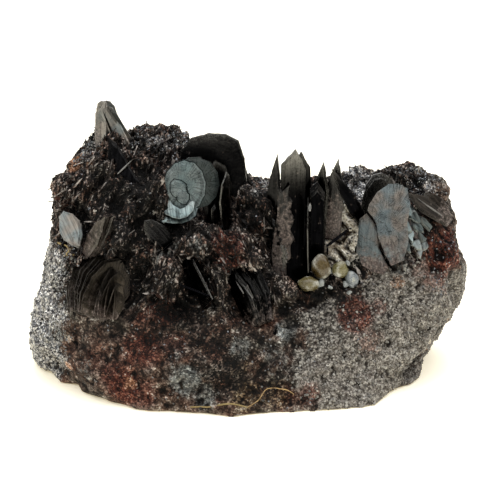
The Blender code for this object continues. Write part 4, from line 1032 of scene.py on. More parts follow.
# Plates of each piece, in the order in which they are seeded.
CRYSTALS = {
    "horn_blades": (
        Plate((-24.7, 1.3, 41.6), (2.4, 9.6), -14, 8, -1, "dome", 1.3, 0.3, wear_and_highlight=0.5, shade=0.6, stain=0.5,
              rusted=1.4),
        Plate((-24.1, 0.8, 41.6), (1.3, 9.8), -30, 8, -5, "dome", 0.9, wear_and_highlight=0.8, shade=0.9),
        Plate((-23.5, 1.0, 41.2), (1.5, 9.7), 10, 9, -12, "dome", 0.9, wear_and_highlight=0.3, shade=0.35),
        # The pale strip: its paleness is a painted reflection of the bright room on its right face.
        Plate((-22.4, 0.8, 41.7), (2.4, 9.4), 6, 12, -24, "blade", 0.9, wear_and_highlight=1.0, shade=1.4),
        # A near-black sliver: painted shade in the gap between the horn's lobe and its pale strip.
        Plate((-23.3, 0.1, 42.4), (0.4, 6.4), 0, 12, -22, "spindle", 0.3, wear_and_highlight=0.0, shade=0.05, edge=0.0),
        Plate((-21.4, 1.2, 41.9), (1.2, 8.8), 20, 8, -28, "blade", 0.8, wear_and_highlight=0.1, shade=0.25),
        Plate((-23.0, 2.4, 41.9), (2.8, 8.8), 0, 4, -13, "dome", 1.0, wear_and_highlight=0.3, shade=0.4),
    ),
    "horn_plate": (
        Plate((-20.9, -5.2, 37.2), (6.4, 9.2), -10, 16, 2, "tooth", 0.4, edge=0.15, shade=1.4),
        # A thin pale sliver: a painted highlight line.
        Plate((-20.3, -6.3, 37.5), (0.26, 3.6), -10, 30, 42, "spindle", 0.2, wear_and_highlight=1.8, edge=1.8, tip=1.0),
    ),
    "dome_plate": (
        Plate((-6.3, -0.2, 35.3), (11.2, 11.9), -6, 12, -6, "dome", 0.8, terraces=0.012, edge=0.5, shade=0.6,
              tip=0.7),
        Plate((-3.4, 0.9, 33.8), (6.0, 10.0), 16, 8, -16, "dome", 0.7, terraces=0.02, edge=0.2, shade=0.7),
    ),
    "recess_plates": (
        Plate((-5.6, -3.0, 32.6), (5.2, 9.6), 12, 8, 4, "leaf", 0.5, terraces=0.02, edge=0.3, shade=0.45),
        Plate((-5.8, -4.4, 27.8), (2.4, 5.0), 66, 4, 2, "blade", 0.5),
    ),
    "edge_plate": (
        Plate((-3.7, -5.8, 31.2), (4.2, 10.4), 66, 2, 2, "leaf", 0.24, 0.5, edge=0.7, terraces=0.004,
              shade=0.5, tip=0.5),
    ),
    "rosette": (
        Plate((-8.9, -5.6, 34.5), (8.0, 8.6), 14, 14, -8, thickness=0.7, shade=0.27, wear_and_highlight=0.02, edge=0.5),
        # A near-black plate a little larger than the next: painted shade as a dark outline round it.
        Plate((-10.7, -6.75, 34.2), (7.3, 8.9), 12, 18, 6, thickness=0.8, shade=0.15, wear_and_highlight=0.0, edge=0.0),
        Plate((-10.7, -6.9, 34.2), (7.0, 8.6), 12, 18, 6, thickness=0.9, nucleus=(-0.2, 0.05), edge=0.25,
              shade=0.9),
        # A near-black plate a little larger than the next: painted shade as a dark outline round it.
        Plate((-11.6, -7.65, 34.0), (3.2, 3.9), 12, 18, -25, "lozenge", 0.4, shade=0.1, wear_and_highlight=0.0, edge=0.0),
        Plate((-11.6, -7.75, 34.0), (2.9, 3.6), 12, 18, -25, "lozenge", 0.4, shade=1.05, edge=0.0,
              radial=0.9),
        # A near-black plate a little larger than the next: painted shade as a dark outline round it.
        Plate((-10.9, -7.95, 32.9), (2.9, 2.4), 12, 20, 80, "leaf", 0.35, shade=0.1, wear_and_highlight=0.0, edge=0.0),
        Plate((-10.9, -8.05, 32.9), (2.6, 2.1), 12, 20, 80, "leaf", 0.35, shade=1.1, edge=0.0, radial=0.9),
        Plate((-12.1, -7.6, 31.2), (5.4, 5.4), 4, 36, 10, thickness=0.7, shade=0.34, wear_and_highlight=0.02, edge=0.2),
        Plate((-11.8, -7.6, 29.9), (5.2, 3.6), 2, 30, 4, thickness=0.5, shade=0.5, edge=0.3),
        Plate((-11.4, -9.3, 31.2), (5.2, 3.7), 2, 44, -6, "crescent", 0.35, shade=0.88, edge=0.5),
        Plate((-11.2, -9.0, 29.9), (6.0, 2.6), 2, 38, -14, "crescent", 0.3, shade=0.55, edge=0.4),
        Plate((-14.0, -9.4, 29.5), (1.5, 1.3), -10, 34, 20, "leaf", 0.3, shade=1.6),
    ),
    "left_scale": (
        Plate((-29.3, -9.3, 27.7), (4.2, 6.9), -28, 26, -40, "lozenge", 0.6, wear_and_highlight=0.25, shade=0.65,
              stain=0.3),
        Plate((-29.0, -8.9, 27.2), (4.0, 6.2), -30, 24, -30, "lozenge", 0.6, wear_and_highlight=0.3, shade=0.5),
    ),
    "ridge_blades": splayed(
        Plate((-25.2, -11.5, 27.4), (3.2, 9.4), -46, 4, 32, "spindle", 0.4, wear_and_highlight=0.1, stain=0.35, rusted=1.6,
              shade=0.6),
        7, (0.3, 0.18, 0.0), (2.5, 3, 0), 0.975, 4,
    ),
    "plate_book": splayed(
        Plate((-23.4, -13.1, 18.7), (7.8, 10.6), 28, 10, 38, "leaf", 0.3, -0.9, edge=0.4, shade=0.75,
              stain=0.6, rusted=0.1, radial=0.9, nucleus=(0.7, -0.5), terraces=0.1),
        11, (-0.19, 0.145, 0.0), (-1.3, 4, -0.9), 1.017, 5.0,
    ) + splayed(
        Plate((-22.8, -13.5, 18.5), (7.0, 9.9), 29, 9, 37, "leaf", 0.3, -0.9, edge=0.08, shade=0.72,
              stain=0.8, rusted=0.2, radial=0.9, nucleus=(0.7, -0.5), terraces=0.03),
        7, (0.5, -0.12, 0.0), (5.0, -1.0, -3.5), 0.91, 11.0,
    ),
    "tilted_plate": (Plate((-14.8, -11.4, 27.4), (3.4, 7.0), 20, 10, -38, "leaf", 0.6),),
    "cavity_blade": (
        Plate((-8.6, -13.4, 20.2), (4.8, 8.4), -58, -8, -40, "blade", 0.3, edge=0.8),
        # Near-black: painted shade in the cavity.
        Plate((-9.2, -11.4, 20.8), (3.4, 7.0), 50, 6, 2, "blade", 0.4, wear_and_highlight=0.0, edge=0.0, shade=0.1),
    ),
    "fan_sheaf": splayed(
        Plate((0.2, -10.7, 18.2), (6.2, 13.6), -30, 24, -43, "leaf", 0.26, edge=0.3, shade=0.7,
              stain=0.9, rusted=-0.1),
        9, (-0.3, -0.2, 0.0), (-1.8, -2.3, 0.3), 0.965, 6.0,
    ) + (
        # Two thin pale slivers: painted highlight arcs.
        Plate((-1.7, -14.2, 19.5), (0.26, 2.6), -20, 30, -42, "spindle", 0.16, wear_and_highlight=1.3, edge=1.2, tip=1.0),
        Plate((-0.5, -15.0, 19.2), (0.26, 3.2), -20, 30, -46, "spindle", 0.16, wear_and_highlight=1.0, edge=1.0, tip=1.0),
    ),
    "tall_blades": (
        Plate((5.6, -7.5, 25.8), (3.6, 18.0), -22, 4, 3, "ragged", 0.7, wear_and_highlight=0.1, terraces=0.012,
              stain=0.8, rusted=1.15, edge=0.2),
        Plate((4.6, -7.5, 23.2), (2.4, 12.0), -34, 6, -4, "ragged", 0.6, wear_and_highlight=0.3, stain=0.9, rusted=1.0,
              edge=0.2),
        Plate((5.6, -8.2, 22.4), (1.5, 4.6), -24, 4, 2, "ragged", 0.3, wear_and_highlight=0.9, stain=0.4, rusted=1.0),
        Plate((6.9, -6.3, 28.1), (4.1, 24.2), 10, 4, 2, "peaked", 1.0, wear_and_highlight=0.0, terraces=0.012,
              edge=0.15, shade=0.2, tip=1.8),
        Plate((8.9, -4.6, 28.5), (2.8, 21.8), 24, 3, -1, "blade", 0.8, wear_and_highlight=0.0, terraces=0.02, tip=0.4,
              shade=0.2, edge=0.3),
    ),
    "edge_blade": (
        Plate((9.6, -8.8, 26.6), (2.4, 12.6), 80, 2, 1, "spear", 0.18, edge=0.4),
        # A small pale spindle: a painted highlight spot.
        Plate((9.7, -10.1, 31.8), (0.5, 1.4), 0, 30, 2, "spindle", 0.2, wear_and_highlight=1.5, edge=1.4, tip=1.0),
    ),
    "right_blade": (
        Plate((11.1, -5.4, 26.6), (2.6, 16.0), 6, 2, 0, "blade", 0.6, wear_and_highlight=0.0, shade=0.25, edge=0.3),
    ),
    "slim_blade": (
        Plate((3.9, -4.0, 32.3), (2.4, 13.4), -16, 2, 4, "spindle", 0.8, edge=0.3, shade=0.35, tip=1.0),
    ),
    "pointed_blades": (
        Plate((11.7, -3.0, 30.5), (2.6, 14.2), -12, 2, 2, "spear", 0.8, wear_and_highlight=0.02, shade=0.3, tip=1.2),
        Plate((14.0, -3.2, 30.9), (3.2, 13.8), -22, 4, 1, "spear", 0.8, wear_and_highlight=0.2, tip=1.0, stain=1.3,
              rusted=0.35),
        Plate((16.5, -3.8, 31.0), (2.4, 12.8), 14, 6, -30, "spindle", 0.7, wear_and_highlight=0.0, edge=0.3, shade=0.3,
              tip=0.6),
    ),
    "back_plate": (Plate((21.3, -0.6, 29.6), (5.2, 9.8), 12, 8, 10, "dome", 0.8, wear_and_highlight=0.3),),
    "shield_plates": (
        Plate((22.7, -7.4, 27.9), (7.0, 13.6), -4, 24, 2, "shield", 0.9, edge=0.05, radial=0.85,
              stain=0.9, rusted=0.0, shade=0.98),
        Plate((20.5, -7.8, 24.6), (5.8, 9.8), -14, 20, 0, "half shield", 0.9, edge=0.05, radial=0.6,
              shade=0.78, stain=1.0, rusted=0.3),
    ),
    "step_plates": (
        Plate((26.6, -4.8, 27.6), (3.4, 7.0), 16, 28, -10, "lozenge", 0.8, wear_and_highlight=0.1, shade=0.3, stain=0.9,
              rusted=0.6),
        Plate((25.9, -4.9, 29.6), (1.6, 3.4), 8, 30, -30, "lozenge", 0.5, wear_and_highlight=0.3, shade=0.9),
        Plate((27.2, -5.2, 28.2), (1.9, 2.6), 24, 22, -20, "shield", 0.6, wear_and_highlight=0.2, shade=0.6),
        Plate((26.2, -5.9, 27.0), (1.8, 2.4), -4, 34, 15, "tooth", 0.6, wear_and_highlight=0.4, shade=0.75, stain=0.4),
        Plate((27.9, -5.6, 26.6), (1.7, 2.4), 30, 26, -40, "lozenge", 0.6, wear_and_highlight=0.2, shade=0.66),
        Plate((26.8, -6.5, 25.4), (2.0, 1.9), 10, 38, 50, "half shield", 0.6, wear_and_highlight=0.5, shade=0.85),
        Plate((28.5, -6.0, 25.2), (1.5, 2.1), 34, 24, 0, "tooth", 0.6, wear_and_highlight=0.2, shade=0.55),
        Plate((27.5, -7.0, 24.0), (1.8, 2.0), 0, 34, -15, "shield", 0.6, wear_and_highlight=0.5, shade=0.9, stain=0.5),
        Plate((28.9, -6.6, 23.8), (1.4, 1.8), 20, 30, 30, "lozenge", 0.6, wear_and_highlight=0.4, shade=0.8, stain=0.5),
        Plate((28.2, -7.4, 22.7), (1.6, 1.5), 12, 40, 70, "tooth", 0.6, wear_and_highlight=0.5, shade=0.8, stain=0.8),
        Plate((26.3, -7.1, 23.7), (1.4, 1.7), -10, 30, 20, "half shield", 0.6, wear_and_highlight=0.3, shade=0.8,
              stain=0.6),
        Plate((29.0, -4.6, 27.2), (1.4, 3.4), 40, 26, -34, "spear", 0.6, wear_and_highlight=0.1, shade=0.4),
    ),
    "rim_plates": (
        Plate((29.4, -3.3, 29.5), (3.2, 8.6), 40, 34, -46, "spear", 0.5, edge=1.0, shade=0.32, stain=0.4),
        # A thin pale sliver: a painted highlight line along the rim.
        Plate((29.6, -4.5, 30.0), (0.3, 5.4), 20, 30, -48, "spindle", 0.16, wear_and_highlight=1.3, edge=1.2, tip=1.0),
        Plate((31.4, -1.2, 28.7), (4.0, 6.8), 34, 30, -30, "leaf", 0.8, wear_and_highlight=0.05, shade=0.28, stain=0.6,
              rusted=0.7),
    ),
}
# How each kind of plate looks: darkest and palest colour, roughness, two tints, slot.
FINISHES = {
    "mirror faces": ("#070709", "#18181b", 0.16, ("#ffffff", "#ffffff"), "bright_hematite"),
    "satin faces": ("#414546", "#a6aba9", 0.34, ("#f1dccf", "#d6e0e4"), "satin_hematite"),
    "silvery faces": ("#3c4142", "#aeb5b3", 0.34, ("#e6eceb", "#cfe0e2"), "satin_hematite"),
    "rusted blades": ("#15110f", "#5b5248", 0.42, ("#ffffff", "#ffffff"), "bright_hematite"),
}
# The pieces that don't have mirror faces.
FINISH_OF = {
    "left_scale": "satin faces",
    "shield_plates": "satin faces",
    "horn_blades": "satin faces",
    "rosette": "silvery faces",
    "step_plates": "silvery faces",
    "ridge_blades": "rusted blades",
    "plate_book": "rusted blades",
    "rim_plates": "rusted blades",
}
PLATE_SHARP = radians(20)  # angle from which an edge of a plate is sharp


class HEMATITE_OT_plates(Operator):
    """Grow the plates, books and blades of hematite"""

    bl_idname = "hematite.plates"
    bl_label = "Plates and blades"

    def execute(self, context):
        sheet = context.scene.hematite_specimen.sheet / MM
        looks = {}
        for name, (*colours, slot) in FINISHES.items():
            looks[name] = (hematite("specular hematite, " + name, *colours), slot)
        for number, (name, plates) in enumerate(CRYSTALS.items()):
            bm = bmesh.new()
            for index, plate in enumerate(plates):
                add_plate(bm, plate, sheet, number * 101 + index * 7)
            material, slot = looks[FINISH_OF.get(name, "mirror faces")]
            piece = mesh_piece(name + "_sheets", bm, material, slot, name)
            piece.data.set_sharp_from_angle(angle=PLATE_SHARP)
        return {"FINISHED"}


# ---------------------------------------------------------------- small things on the rock
def scattered(name, shapes, placed, material, slot, dims=None):
    """Joins copies of small shapes, one a pose (4 x 4 array, in millimetres), into one piece.

    Those that would reach past the box of the solids are left out. dims is how much darker than
    its kind each is.
    """
    dims = np.zeros(len(placed)) if dims is None else dims
    low, high = (np.array(corner) / MM for corner in CAD_BOX)
    points, corners, darker = [], [], []
    filled = 0
    for number, shape in enumerate(shapes):
        own = placed[number :: len(shapes)]
        vertices = np.array([[*vertex.co, 1.0] for vertex in shape.verts])
        faces = np.array([[vertex.index for vertex in face.verts] for face in shape.faces])
        copies = np.einsum("nij,vj->nvi", own, vertices)[:, :, :3]
        kept = (copies.min(axis=1) > low).all(axis=1) & (copies.max(axis=1) < high).all(axis=1)
        copies = copies[kept]
        darker.append(np.repeat(dims[number :: len(shapes)][kept], len(vertices)))
        points.append(copies.reshape(-1, 3))
        starts = filled + np.arange(len(copies)) * len(vertices)
        corners.append((faces[None] + starts[:, None, None]).reshape(-1, 3))
        filled += len(copies) * len(vertices)
        shape.free()
    mesh = bpy.data.meshes.new(name)
    mesh.from_pydata(np.concatenate(points) * MM, [], np.concatenate(corners))
    store(mesh, "dim", np.concatenate(darker))
    handed_over(linked(name, mesh), material, slot)


def small_shape(bm):
    """A finished small shape: triangles, faces outward, numbered vertices."""
    bmesh.ops.triangulate(bm, faces=bm.faces)
    bmesh.ops.recalc_face_normals(bm, faces=bm.faces)
    bm.verts.index_update()
    return bm


def thin_plate(corners):
    """A plate of unit size, lying flat, from the outline of its top."""
    bm = bmesh.new()
    top = bm.faces.new([bm.verts.new((x / 2, y / 2, 0.5)) for x, y in corners])
    extrude(bm, [top], -1)
    return small_shape(bm)


def chunk(seed, cuts):
    """A grain of unit size, broken along flat faces."""
    draw = random.Random(seed)
    bm = bmesh.new()
    bmesh.ops.create_cube(bm, size=1.0)
    for _ in range(cuts):
        way = Vector(draw.gauss(0, 1) for _ in range(3)).normalized()
        cut(bm, way * draw.uniform(0.42, 0.56), way, clear_outer=True)
        bmesh.ops.holes_fill(bm, edges=[edge for edge in bm.edges if edge.is_boundary])
    return small_shape(bm)


def rock_places(weight, count, seed):
    """Points and normals spread over the rock where weight, a number a vertex, is high."""
    mesh = bpy.data.objects["rock"].data
    vertices = vertex_places(mesh)
    mesh.calc_loop_triangles()
    corners = np.empty(len(mesh.loop_triangles) * 3, np.int32)
    mesh.loop_triangles.foreach_get("vertices", corners)
    corners = corners.reshape(-1, 3)
    a, b, c = (vertices[corners[:, side]] for side in range(3))
    crossed = np.cross(b - a, c - a)
    area = np.linalg.norm(crossed, axis=1)
    chances = area * weight[corners].mean(axis=1)
    draw = np.random.default_rng(seed)
    chosen = draw.choice(len(corners), count, p=chances / chances.sum())
    first, second = np.sort(draw.random((2, count)), axis=0)[:, :, None]
    points = a[chosen] * first + b[chosen] * (second - first) + c[chosen] * (1 - second)
    return points, crossed[chosen] / area[chosen][:, None], draw


def poses(points, up, along, sizes):
    """Arrays that place unit shapes: local Z to up, local Y near along, scaled by sizes."""
    up = up / np.linalg.norm(up, axis=1)[:, None]
    side = np.cross(along, up)
    side /= np.linalg.norm(side, axis=1)[:, None] + 1e-9
    along = np.cross(up, side)
    made = np.zeros((len(points), 4, 4))
    made[:, :3, 0] = side * sizes[:, :1]
    made[:, :3, 1] = along * sizes[:, 1:2]
    made[:, :3, 2] = up * sizes[:, 2:]
    made[:, :3, 3] = points
    made[:, 3, 3] = 1.0
    return made


def rock_zone(name):
    """How much of one kind of surface there is at each point of the rock."""
    mesh = bpy.data.objects["rock"].data
    values = np.empty(len(mesh.vertices), np.float32)
    mesh.attributes[name].data.foreach_get("value", values)
    return values.astype(float)


# Outlines of the small blades, in halves of their width and length.
SHARD_OUTLINES = (
    ((-0.7, -1), (1, -0.6), (0.5, 1), (-1, 0.2)), ((-0.4, -1), (1, -0.2), (0.2, 1), (-1, 0.5)),
    ((-1, -1), (1, -0.9), (0.9, 0.6), (-0.2, 1), (-1, 0.4)),
)
LARGE_SHARE = 0.05  # share of them that are large
FLAKE_SEED = 21
BLADE_SEED = 22
GRAIN_SEED = 23
GRAIN_DIMS = (3.4, 0.35, 29)  # (width, depth, seed) of the soft shades that run over the grains


def rock_depth():
    """How far back each point of the rock lies, in millimetres."""
    return vertex_places(bpy.data.objects["rock"].data)[:, 1]


class HEMATITE_OT_flakes(Operator):
    """Strew glittering hematite flakes over the rock"""

    bl_idname = "hematite.flakes"
    bl_label = "Flakes"

    def execute(self, context):
        count = context.scene.hematite_specimen.flakes
        weight = 0.015 + rock_zone("glitter") + 0.13 * rock_zone("streaked")
        weight *= (
            (1 - 0.6 * rock_zone("sugary")) * (1 - rock_zone("cream")) * (1 - 0.95 * rock_zone("black"))
        )
        points, normals, draw = rock_places(weight, count, FLAKE_SEED)
        up = normals + draw.normal(0, 0.75, (count, 3))
        wide = 0.16 + 0.4 * draw.random((count, 1)) ** 3
        sizes = np.hstack([wide, wide * draw.uniform(0.7, 1.2, (count, 1)), 0.05 + 0.1 * wide])
        turns = [pi * (side + 0.3) / 3 for side in range(6)]
        shapes = [
            thin_plate([(cos(turn), sin(turn)) for turn in turns]),
            thin_plate([(cos(turn) * (0.7 + 0.3 * (turn > 3)), sin(turn)) for turn in turns]),
        ]
        material = hematite_flakes()
        placed = poses(points, up, draw.normal(0, 1, (count, 3)), sizes)
        kinds = zones(points)
        # Darker in the near-black patches, following their painted shade; brighter on the glittering and
        # silvery grit.
        dims = 0.5 - 0.9 * np.maximum(kinds["glitter"], kinds["silver"]) + 0.4 * kinds["black"]
        scattered("hematite_flakes", shapes, placed, material, "bright_hematite", dims)
        return {"FINISHED"}


class HEMATITE_OT_rubble(Operator):
    """Set small rusty blades along the grain of the dark rock"""

    bl_idname = "hematite.rubble"
    bl_label = "Small blades"

    def execute(self, context):
        count = context.scene.hematite_specimen.rubble
        weight = 0.012 + rock_zone("streaked") * (1 - 0.6 * smooth_step(rock_depth(), 6.0, 12.0))
        weight *= (1 - rock_zone("cream")) * (1 - rock_zone("sugary")) * (1 - 0.85 * rock_zone("black"))
        weight *= 1 - 0.9 * rock_zone("silver")
        points, normals, draw = rock_places(weight, count, BLADE_SEED)
        kinds = zones(points)
        lean = np.interp(kinds["second_run"], (0, 1), [lean for _, lean in GRAIN_RUNS])
        along = np.stack([grain_way(angle) for angle in lean]) + draw.normal(0, 0.22, (count, 3))
        along -= normals * (along * normals).sum(axis=1)[:, None] * draw.uniform(0.85, 1.0, (count, 1))
        across = np.cross(normals, along) + draw.normal(0, 0.5, (count, 3))
        level = smooth_step(0.8 - normals[:, 2:], 0.0, 0.3)
        front = 0.4 + 0.6 * smooth_step(-normals[:, 1:2], 0.1, 0.6) * level
        large = (draw.random((count, 1)) < LARGE_SHARE) * front
        long = (0.5 + 2.2 * draw.random((count, 1)) ** 2 + 1.5 * large) * front
        wide = 0.08 + long * draw.uniform(0.06, 0.2, (count, 1))
        sizes = np.hstack([wide, long, 0.05 + 0.035 * long])
        points = points - normals * wide * 0.25
        shapes = [thin_plate(outline) for outline in SHARD_OUTLINES]
        placed = poses(points, across, along, sizes)
        # Darker in the near-black patches, following their painted shade.
        scattered("small_blades", shapes, placed, bladed_rust(), "bright_hematite", 0.9 * kinds["black"])
        return {"FINISHED"}


class HEMATITE_OT_sugar(Operator):
    """Cover the pale rock with sugary quartz grains"""

    bl_idname = "hematite.sugar"
    bl_label = "Sugary quartz"

    def execute(self, context):
        count = context.scene.hematite_specimen.grains
        weight = rock_zone("sugary") + 0.3 * rock_zone("pale") + 0.3 * rock_zone("cream") + 0.02
        weight *= 1 - 0.8 * np.maximum.reduce([rock_zone("rust"), rock_zone("orange"), rock_zone("black")])
        points, normals, draw = rock_places(weight, count, GRAIN_SEED)
        sizes = (0.14 + 0.24 * draw.random((count, 1)) ** 2) * draw.uniform(0.75, 1.3, (count, 3))
        material = quartz("sugary quartz, iron-stained", "#3a3633", "#9a968e", 0.0, 0.4, 0.3)
        shapes = [chunk(seed, 3) for seed in range(5)]
        way = normals + draw.normal(0, 0.8, (count, 3))
        placed = poses(points, way, draw.normal(0, 1, (count, 3)), sizes)
        kinds = zones(points)
        # Brighter on the silvery grit, as part of its painted glints, and on the cream quartz.
        dims = -0.9 * kinds["silver"] - 0.5 * kinds["cream"] + 0.6 * (1 - kinds["sugary"])
        width, depth, seed = GRAIN_DIMS
        dims = dims + depth * soft_noise(points, width, seed)
        scattered("sugary_quartz", shapes, placed, material, "rock", np.clip(dims, -1.2, 0.8))
        return {"FINISHED"}


# Grains that replace the quartz solids: node, core and rim colours, how much light passes.
GRAINS = {
    "amber_quartz_1": ("#3f3218", "#72623d", 0.25),
    "amber_quartz_2": ("#5d552c", "#9d9873", 0.25),
    "amber_quartz_3": ("#4e4220", "#928a64", 0.25),
    "white_quartz": ("#6c7276", "#b3b9bc", 0.2),
}
# Small grains beside them: centre, size.
DRUSE = (
    ((11.8, -10.4, 18.6), 1.2), ((13.2, -9.8, 17.7), 0.8), ((15.8, -9.5, 18.2), 1.0),
    ((16.4, -9.9, 16.8), 0.7), ((13.1, -8.6, 20.1), 0.9), ((16.2, -8.2, 21.4), 0.9),
    ((17.5, -9.0, 18.2), 0.7),
)
DRUSE_SEED = 31
DRUSE_SHAPE_SEED = 60


def grown_grain(number, name):
    """A rounded, lumpy grain that fills the box of its solid."""
    low, high = box_mm(name)
    bm = bmesh.new()
    bmesh.ops.create_icosphere(bm, subdivisions=4, radius=0.5)
    frost = bm.verts.layers.float.new("frost")
    for vertex in bm.verts:
        lumps = noise.noise(vertex.co * 2.2 + Vector((number * 7.0, 0, 0)))
        facets = noise.cell(vertex.co * 2.6 + Vector((number * 5.0, 0, 0)))
        vertex[frost] = float(smooth_step(lumps + 0.35 * facets, 0.0, 0.45))
        vertex.co *= 1 + 0.2 * lumps + 0.05 * facets
    for _ in range(2):
        bmesh.ops.smooth_vert(
            bm, verts=bm.verts, factor=0.5, use_axis_x=True, use_axis_y=True, use_axis_z=True
        )
    for face in bm.faces:
        face.smooth = True
    found = np.array([vertex.co for vertex in bm.verts])
    least, most = found.min(axis=0), found.max(axis=0)
    bmesh.ops.translate(bm, vec=-(most + least) / 2, verts=bm.verts)
    bmesh.ops.scale(bm, vec=(high - low) / (most - least), verts=bm.verts)
    bmesh.ops.translate(bm, vec=(low + high) / 2, verts=bm.verts)
    return bm


class HEMATITE_OT_quartz(Operator):
    """Grow the amber and white quartz grains"""

    bl_idname = "hematite.quartz"
    bl_label = "Quartz grains"

    def execute(self, context):
        for number, (name, (core, rim, clear)) in enumerate(GRAINS.items()):
            slot = "white_quartz" if name == "white_quartz" else "amber_quartz"
            material = quartz(name.replace("_", " "), core, rim, clear, 0.28, 0.35)
            mesh_piece(name + "_grain", grown_grain(number, name), material, slot, name)
        draw = np.random.default_rng(DRUSE_SEED)
        count = len(DRUSE)
        sizes = np.array([[size] * 3 for _, size in DRUSE]) * draw.uniform(0.6, 1.1, (count, 3))
        centres = np.array([centre for centre, _ in DRUSE])
        placed = poses(centres, draw.normal(0, 1, (count, 3)), draw.normal(0, 1, (count, 3)), sizes)
        material = quartz("small quartz grains", "#585c5c", "#aaaeaa", 0.2, 0.3, 0.3)
        shapes = [chunk(DRUSE_SHAPE_SEED + number, 12) for number in range(4)]
        scattered("small_quartz", shapes, placed, material, "white_quartz")
        return {"FINISHED"}


# ---------------------------------------------------------------- fibre and veinlets
# Each is a line of points on the rock.
FIBRE = (
    (-0.4, -21.2, 1.3), (0.6, -20.8, 1.7), (1.5, -20.2, 2.3), (2.0, -19.7, 3.0), (2.6, -19.3, 3.5),
    (3.6, -18.9, 3.7), (4.9, -18.9, 3.6), (6.2, -19.0, 3.3), (7.2, -19.2, 2.7),
)
VEINLETS = (
    ((-9.7, -20.7, 1.1), (-8.1, -20.8, 1.2), (-6.5, -21.1, 1.3), (-4.9, -21.4, 1.8), (-3.2, -21.6, 2.1),
     (-1.6, -21.3, 1.7), (-0.4, -21.2, 1.3)),
    ((-33.1, -3.7, 24.7), (-31.8, -7.4, 24.6), (-30.5, -10.7, 24.8), (-29.5, -9.6, 23.5),
     (-28.6, -10.5, 23.5)),
)
FIBRE_SUNK = -0.1  # in its width: how deep it lies in the rock
VEINLET_WIDTH = 0.3
VEINLET_SUNK = 0.6
FIBRE_SEED = 5


def laid_tube(bm, line, width, depth, tree):
    """Adds a tube that follows a line and lies on the rock, sunk by depth of its width."""
    curve = bpy.data.curves.new("line", "CURVE")
    curve.dimensions = "3D"
    curve.bevel_depth = width / 2
    curve.bevel_resolution = 2
    curve.use_fill_caps = True
    curve.resolution_u = 6
    spline = curve.splines.new("BEZIER")
    spline.bezier_points.add(len(line) - 1)
    for point, place in zip(spline.bezier_points, line):
        found, normal, _, _ = tree.find_nearest(Vector(place) * MM)
        point.co = found / MM + normal * width * (0.5 - depth)
        point.handle_left_type = point.handle_right_type = "AUTO"
        point.radius = 0.75 + 0.5 * noise.random()
    item = linked("line", curve)
    mesh = evaluated_mesh(item)
    bm.from_mesh(mesh)
    bpy.data.objects.remove(item)
    bpy.data.meshes.remove(mesh)


class HEMATITE_OT_fibre(Operator):
    """Lay the curled fibre and the golden veinlets on the rock"""

    bl_idname = "hematite.fibre"
    bl_label = "Fibre and veinlets"

    def execute(self, context):
        noise.seed_set(FIBRE_SEED)
        width = context.scene.hematite_specimen.fibre_width / MM
        rock = bpy.data.objects["rock"]
        tree = BVHTree.FromObject(rock, context.evaluated_depsgraph_get())
        bm = bmesh.new()
        laid_tube(bm, FIBRE, width, FIBRE_SUNK, tree)
        mesh_piece("curled_fibre", bm, fibre_material(), "rock")
        bm = bmesh.new()
        for line in VEINLETS:
            laid_tube(bm, line, VEINLET_WIDTH, VEINLET_SUNK, tree)
        material = quartz("golden clay", "#3f3320", "#8b784c", 0.0, 0.7, 0.25)
        mesh_piece("golden_veinlets", bm, material, "rock")
        return {"FINISHED"}


# Black needles that lie on the cream quartz: foot, tip, width.
NEEDLES = (
    ((11.8, -6.4, 27.6), (19.2, -5.0, 29.2), 0.4), ((12.4, -6.6, 26.8), (18.6, -5.4, 28.2), 0.32),
    ((11.2, -6.0, 26.0), (15.6, -6.4, 27.4), 0.34), ((16.4, -6.2, 26.4), (19.0, -5.6, 28.8), 0.3),
    ((13.0, -6.6, 25.6), (16.4, -6.4, 26.6), 0.28), ((12.2, -6.6, 22.6), (12.6, -6.4, 26.6), 0.34),
    ((14.6, -6.2, 28.2), (17.4, -5.4, 30.4), 0.26), ((17.2, -6.2, 23.0), (19.0, -6.8, 24.6), 0.5),
    ((3.4, -17.0, 9.2), (4.9, -15.4, 14.0), 0.5), ((-10.4, -15.6, 20.6), (-7.0, -17.0, 17.2), 0.35),
    ((-14.2, -12.6, 25.4), (-12.4, -12.2, 28.0), 0.4), ((24.6, -2.0, 33.4), (28.4, -1.6, 31.8), 0.3),
    ((23.0, -1.8, 33.6), (27.4, -1.0, 34.2), 0.26),
)


class HEMATITE_OT_needles(Operator):
    """Lay the black needles on the cream quartz"""

    bl_idname = "hematite.needles"
    bl_label = "Needles"

    def execute(self, context):
        tree = BVHTree.FromObject(bpy.data.objects["rock"], context.evaluated_depsgraph_get())
        ends = []
        for foot, tip, width in NEEDLES:
            spots = [tree.find_nearest(Vector(spot) * MM)[0] / MM for spot in (foot, tip)]
            ends.append((*spots, width))
        feet, tips = (np.array([end[side] for end in ends]) for side in (0, 1))
        widths = np.array([[end[2]] for end in ends])
        long = np.linalg.norm(tips - feet, axis=1)[:, None]
        sizes = np.hstack([widths, long, widths * 0.7])
        up = np.tile((0.1, -1.0, 0.25), (len(ends), 1))
        centres = (feet + tips) / 2 + up * 0.12
        material = hematite_flakes("hematite needles", "#08080a", "#1c1c20")
        placed = poses(centres, up, tips - feet, sizes)
        scattered("needles", [thin_plate(OUTLINES["spindle"])], placed, material, "bright_hematite")
        return {"FINISHED"}


# ---------------------------------------------------------------- stage
# Brightness of the white room round the specimen, from its horizon (0) to straight up (1).
SKY = ((0.0, "#2a2a2b"), (0.26, "#555657"), (0.5, "#828384"), (0.72, "#c4c5c6"), (0.88, "#ffffff"))
BACKDROP = ((0.45, "#000000"), (0.8, "#b0b0b0"))  # what it adds, from its side (0) to its back (1)
SKY_STRENGTH = 2.6
FLOOR_SIDE = 4.0  # in metres, from its middle
FLOOR_GLOW = ("#ffe9b4", 0.26)  # colour and strength
